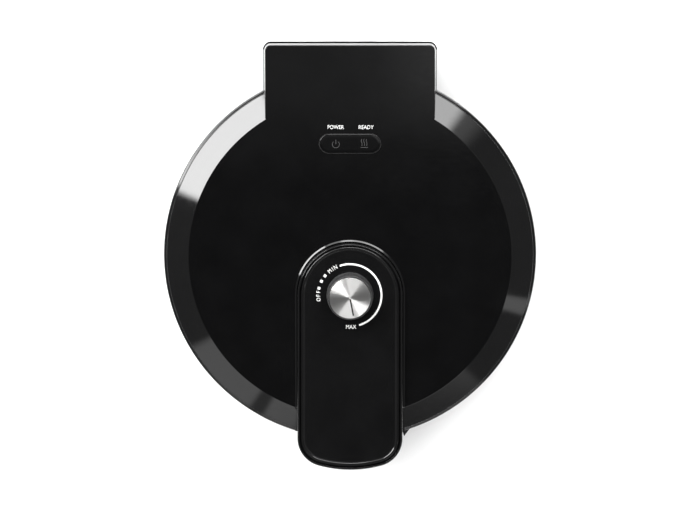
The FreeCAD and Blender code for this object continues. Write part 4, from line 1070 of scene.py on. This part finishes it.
@dataclass
class Studio:
    """Floor, soft light all round and the camera."""

    target: tuple[float, float, float] = (0.0, -0.0061, 0.08)
    distance: float = 2.6
    tilt: float = 7.2
    lens: float = 146.5
    room: float = 0.3
    zenith: float = 0.02
    zenith_edge: tuple[float, float] = (50.0, 75.0)
    backdrop: float = 0.95
    fill_power: float = 95.0
    fill_size: float = 3.0
    fill_height: float = 2.6
    glows: tuple[Glow, ...] = (
        Glow(144.5, 22.5, 39, 10, 23.5),
        Glow(74, 27, 39, 10, 11.0, 5.0),
        Glow(56, 17, 39, 10, 1.2, 8.0),
        Glow(103, 17, 39, 10, 5.0, 6.0),
        Glow(-124, 19, 31, 9, 1.7),
        Glow(-117, 2.2, 31, 9, -1.5, 2.0),
        Glow(-24, 2.5, 35, 12, 1.9, 1.5),
        Glow(-64, 14, 35, 10, 1.5),
    )
    panels: tuple[Panel, ...] = (
        Panel(0.0, 0.09, 0.3, 0.17, 0.24, 0.04),
        Panel(0.17, 0.12, 0.15, 0.19, 0.65, 0.03),
    )

    def camera(self) -> None:
        """Camera nearly straight above, tilted a little towards the hinge."""
        data = bpy.data.cameras.new("camera")
        data.lens, data.sensor_width = self.lens, 36.0
        camera = place("camera", data)
        tilt = math.radians(self.tilt)
        camera.location = (self.target[0],
                           self.target[1] + self.distance * math.sin(tilt),
                           self.target[2] + self.distance * math.cos(tilt))
        camera.rotation_euler = (-tilt, 0, 0)
        bpy.context.scene.camera = camera

    def floor(self) -> None:
        """Plain pale floor, a large square at table height."""
        reach = np.linspace(-4000, 4000, 9)
        x, y = np.meshgrid(reach, reach)
        floor = Skin().grid(np.stack((x, y, 0 * x), -1), core=(0, 0, -10)).mesh(
            "studio_floor", recalculate=False)
        paper = Finish("studio_paper", (0.82, 0.82, 0.82), (0.8, 0.9), Grain.CAST, 2, 0.001,
                       tone=0.005)
        floor.data.materials.append(paper.material())

    def light(self) -> None:
        """Room light from the glows, and a broad lamp above that polished faces do not mirror."""
        world = bpy.data.worlds.new("studio")
        bpy.context.scene.world = world
        world.use_nodes = True
        tree = world.node_tree
        tree.nodes.clear()

        def math_node(kind: str, *values) -> bpy.types.NodeSocket:
            """Adds one sum of the light's formula."""
            node = tree.nodes.new("ShaderNodeMath")
            node.operation = kind
            for index, value in enumerate(values):
                if isinstance(value, bpy.types.NodeSocket):
                    tree.links.new(value, node.inputs[index])
                else:
                    node.inputs[index].default_value = value
            return node.outputs[0]

        def step(value: bpy.types.NodeSocket, start: float, end: float) -> bpy.types.NodeSocket:
            """Smooth step from 1 at start to 0 at end."""
            node = tree.nodes.new("ShaderNodeMapRange")
            node.interpolation_type = "SMOOTHSTEP"
            tree.links.new(value, node.inputs["Value"])
            limits = {"From Min": start, "From Max": end, "To Min": 1, "To Max": 0}
            for name, limit in limits.items():
                node.inputs[name].default_value = limit
            return node.outputs[0]

        way = tree.nodes.new("ShaderNodeTexCoord").outputs["Generated"]
        parts = tree.nodes.new("ShaderNodeSeparateXYZ")
        tree.links.new(way, parts.inputs[0])
        x, y, z = parts.outputs
        turn = math_node("DEGREES", math_node("ARCTAN2", y, x))
        rise = math_node("DEGREES", math_node("ARCSINE", z))
        total = math_node("MULTIPLY_ADD", step(rise, *self.zenith_edge),
                          self.room - self.zenith, self.zenith)
        for glow in self.glows:
            off = math_node("ABSOLUTE", math_node("SUBTRACT", math_node(
                "FLOORED_MODULO", math_node("SUBTRACT", turn, glow.turn - 180), 360), 180))
            across = step(off, glow.half_turn - glow.soft_turn / 2,
                          glow.half_turn + glow.soft_turn / 2)
            up = math_node("ABSOLUTE", math_node("SUBTRACT", rise, glow.rise))
            level = step(up, glow.half_rise - glow.soft_rise / 2,
                         glow.half_rise + glow.soft_rise / 2)
            total = math_node("ADD", total, math_node(
                "MULTIPLY", glow.power, math_node("MULTIPLY", across, level)))
        for panel in self.panels:
            shares = []
            for part, middle, half in ((x, panel.x, panel.half_x), (y, panel.y, panel.half_y)):
                off = math_node("ABSOLUTE", math_node("SUBTRACT", part, middle))
                shares.append(step(off, half - panel.soft / 2, half + panel.soft / 2))
            above = math_node("GREATER_THAN", z, 0)
            level = math_node("MULTIPLY", math_node("MULTIPLY", *shares), above)
            total = math_node("MULTIPLY_ADD", level, panel.power, total)
        path = tree.nodes.new("ShaderNodeLightPath")
        seen = math_node("MULTIPLY_ADD", path.outputs["Is Camera Ray"],
                         math_node("SUBTRACT", self.backdrop, total), total)
        back = tree.nodes.new("ShaderNodeBackground")
        tree.links.new(seen, back.inputs["Strength"])
        out = tree.nodes.new("ShaderNodeOutputWorld")
        tree.links.new(back.outputs[0], out.inputs[0])

        data = bpy.data.lights.new("fill", "AREA")
        data.shape, data.size, data.energy = "DISK", self.fill_size, self.fill_power
        fill = place("fill", data)
        fill.location = (0, 0, self.fill_height)
        fill.visible_glossy = False

    def build(self) -> None:
        """Sets up the whole studio."""
        self.floor()
        self.light()
        self.camera()
        bpy.context.scene.view_settings.view_transform = "Standard"


def main() -> None:
    """Builds the griddle and the studio round it."""
    logging.basicConfig(level=logging.INFO, format="%(message)s")
    LidCover().build()
    Handle().build()
    Indicator().build()
    Dial().build()
    Knob().build()
    Hardware().build()
    Studio().build()


if __name__ == "__main__":
    main()
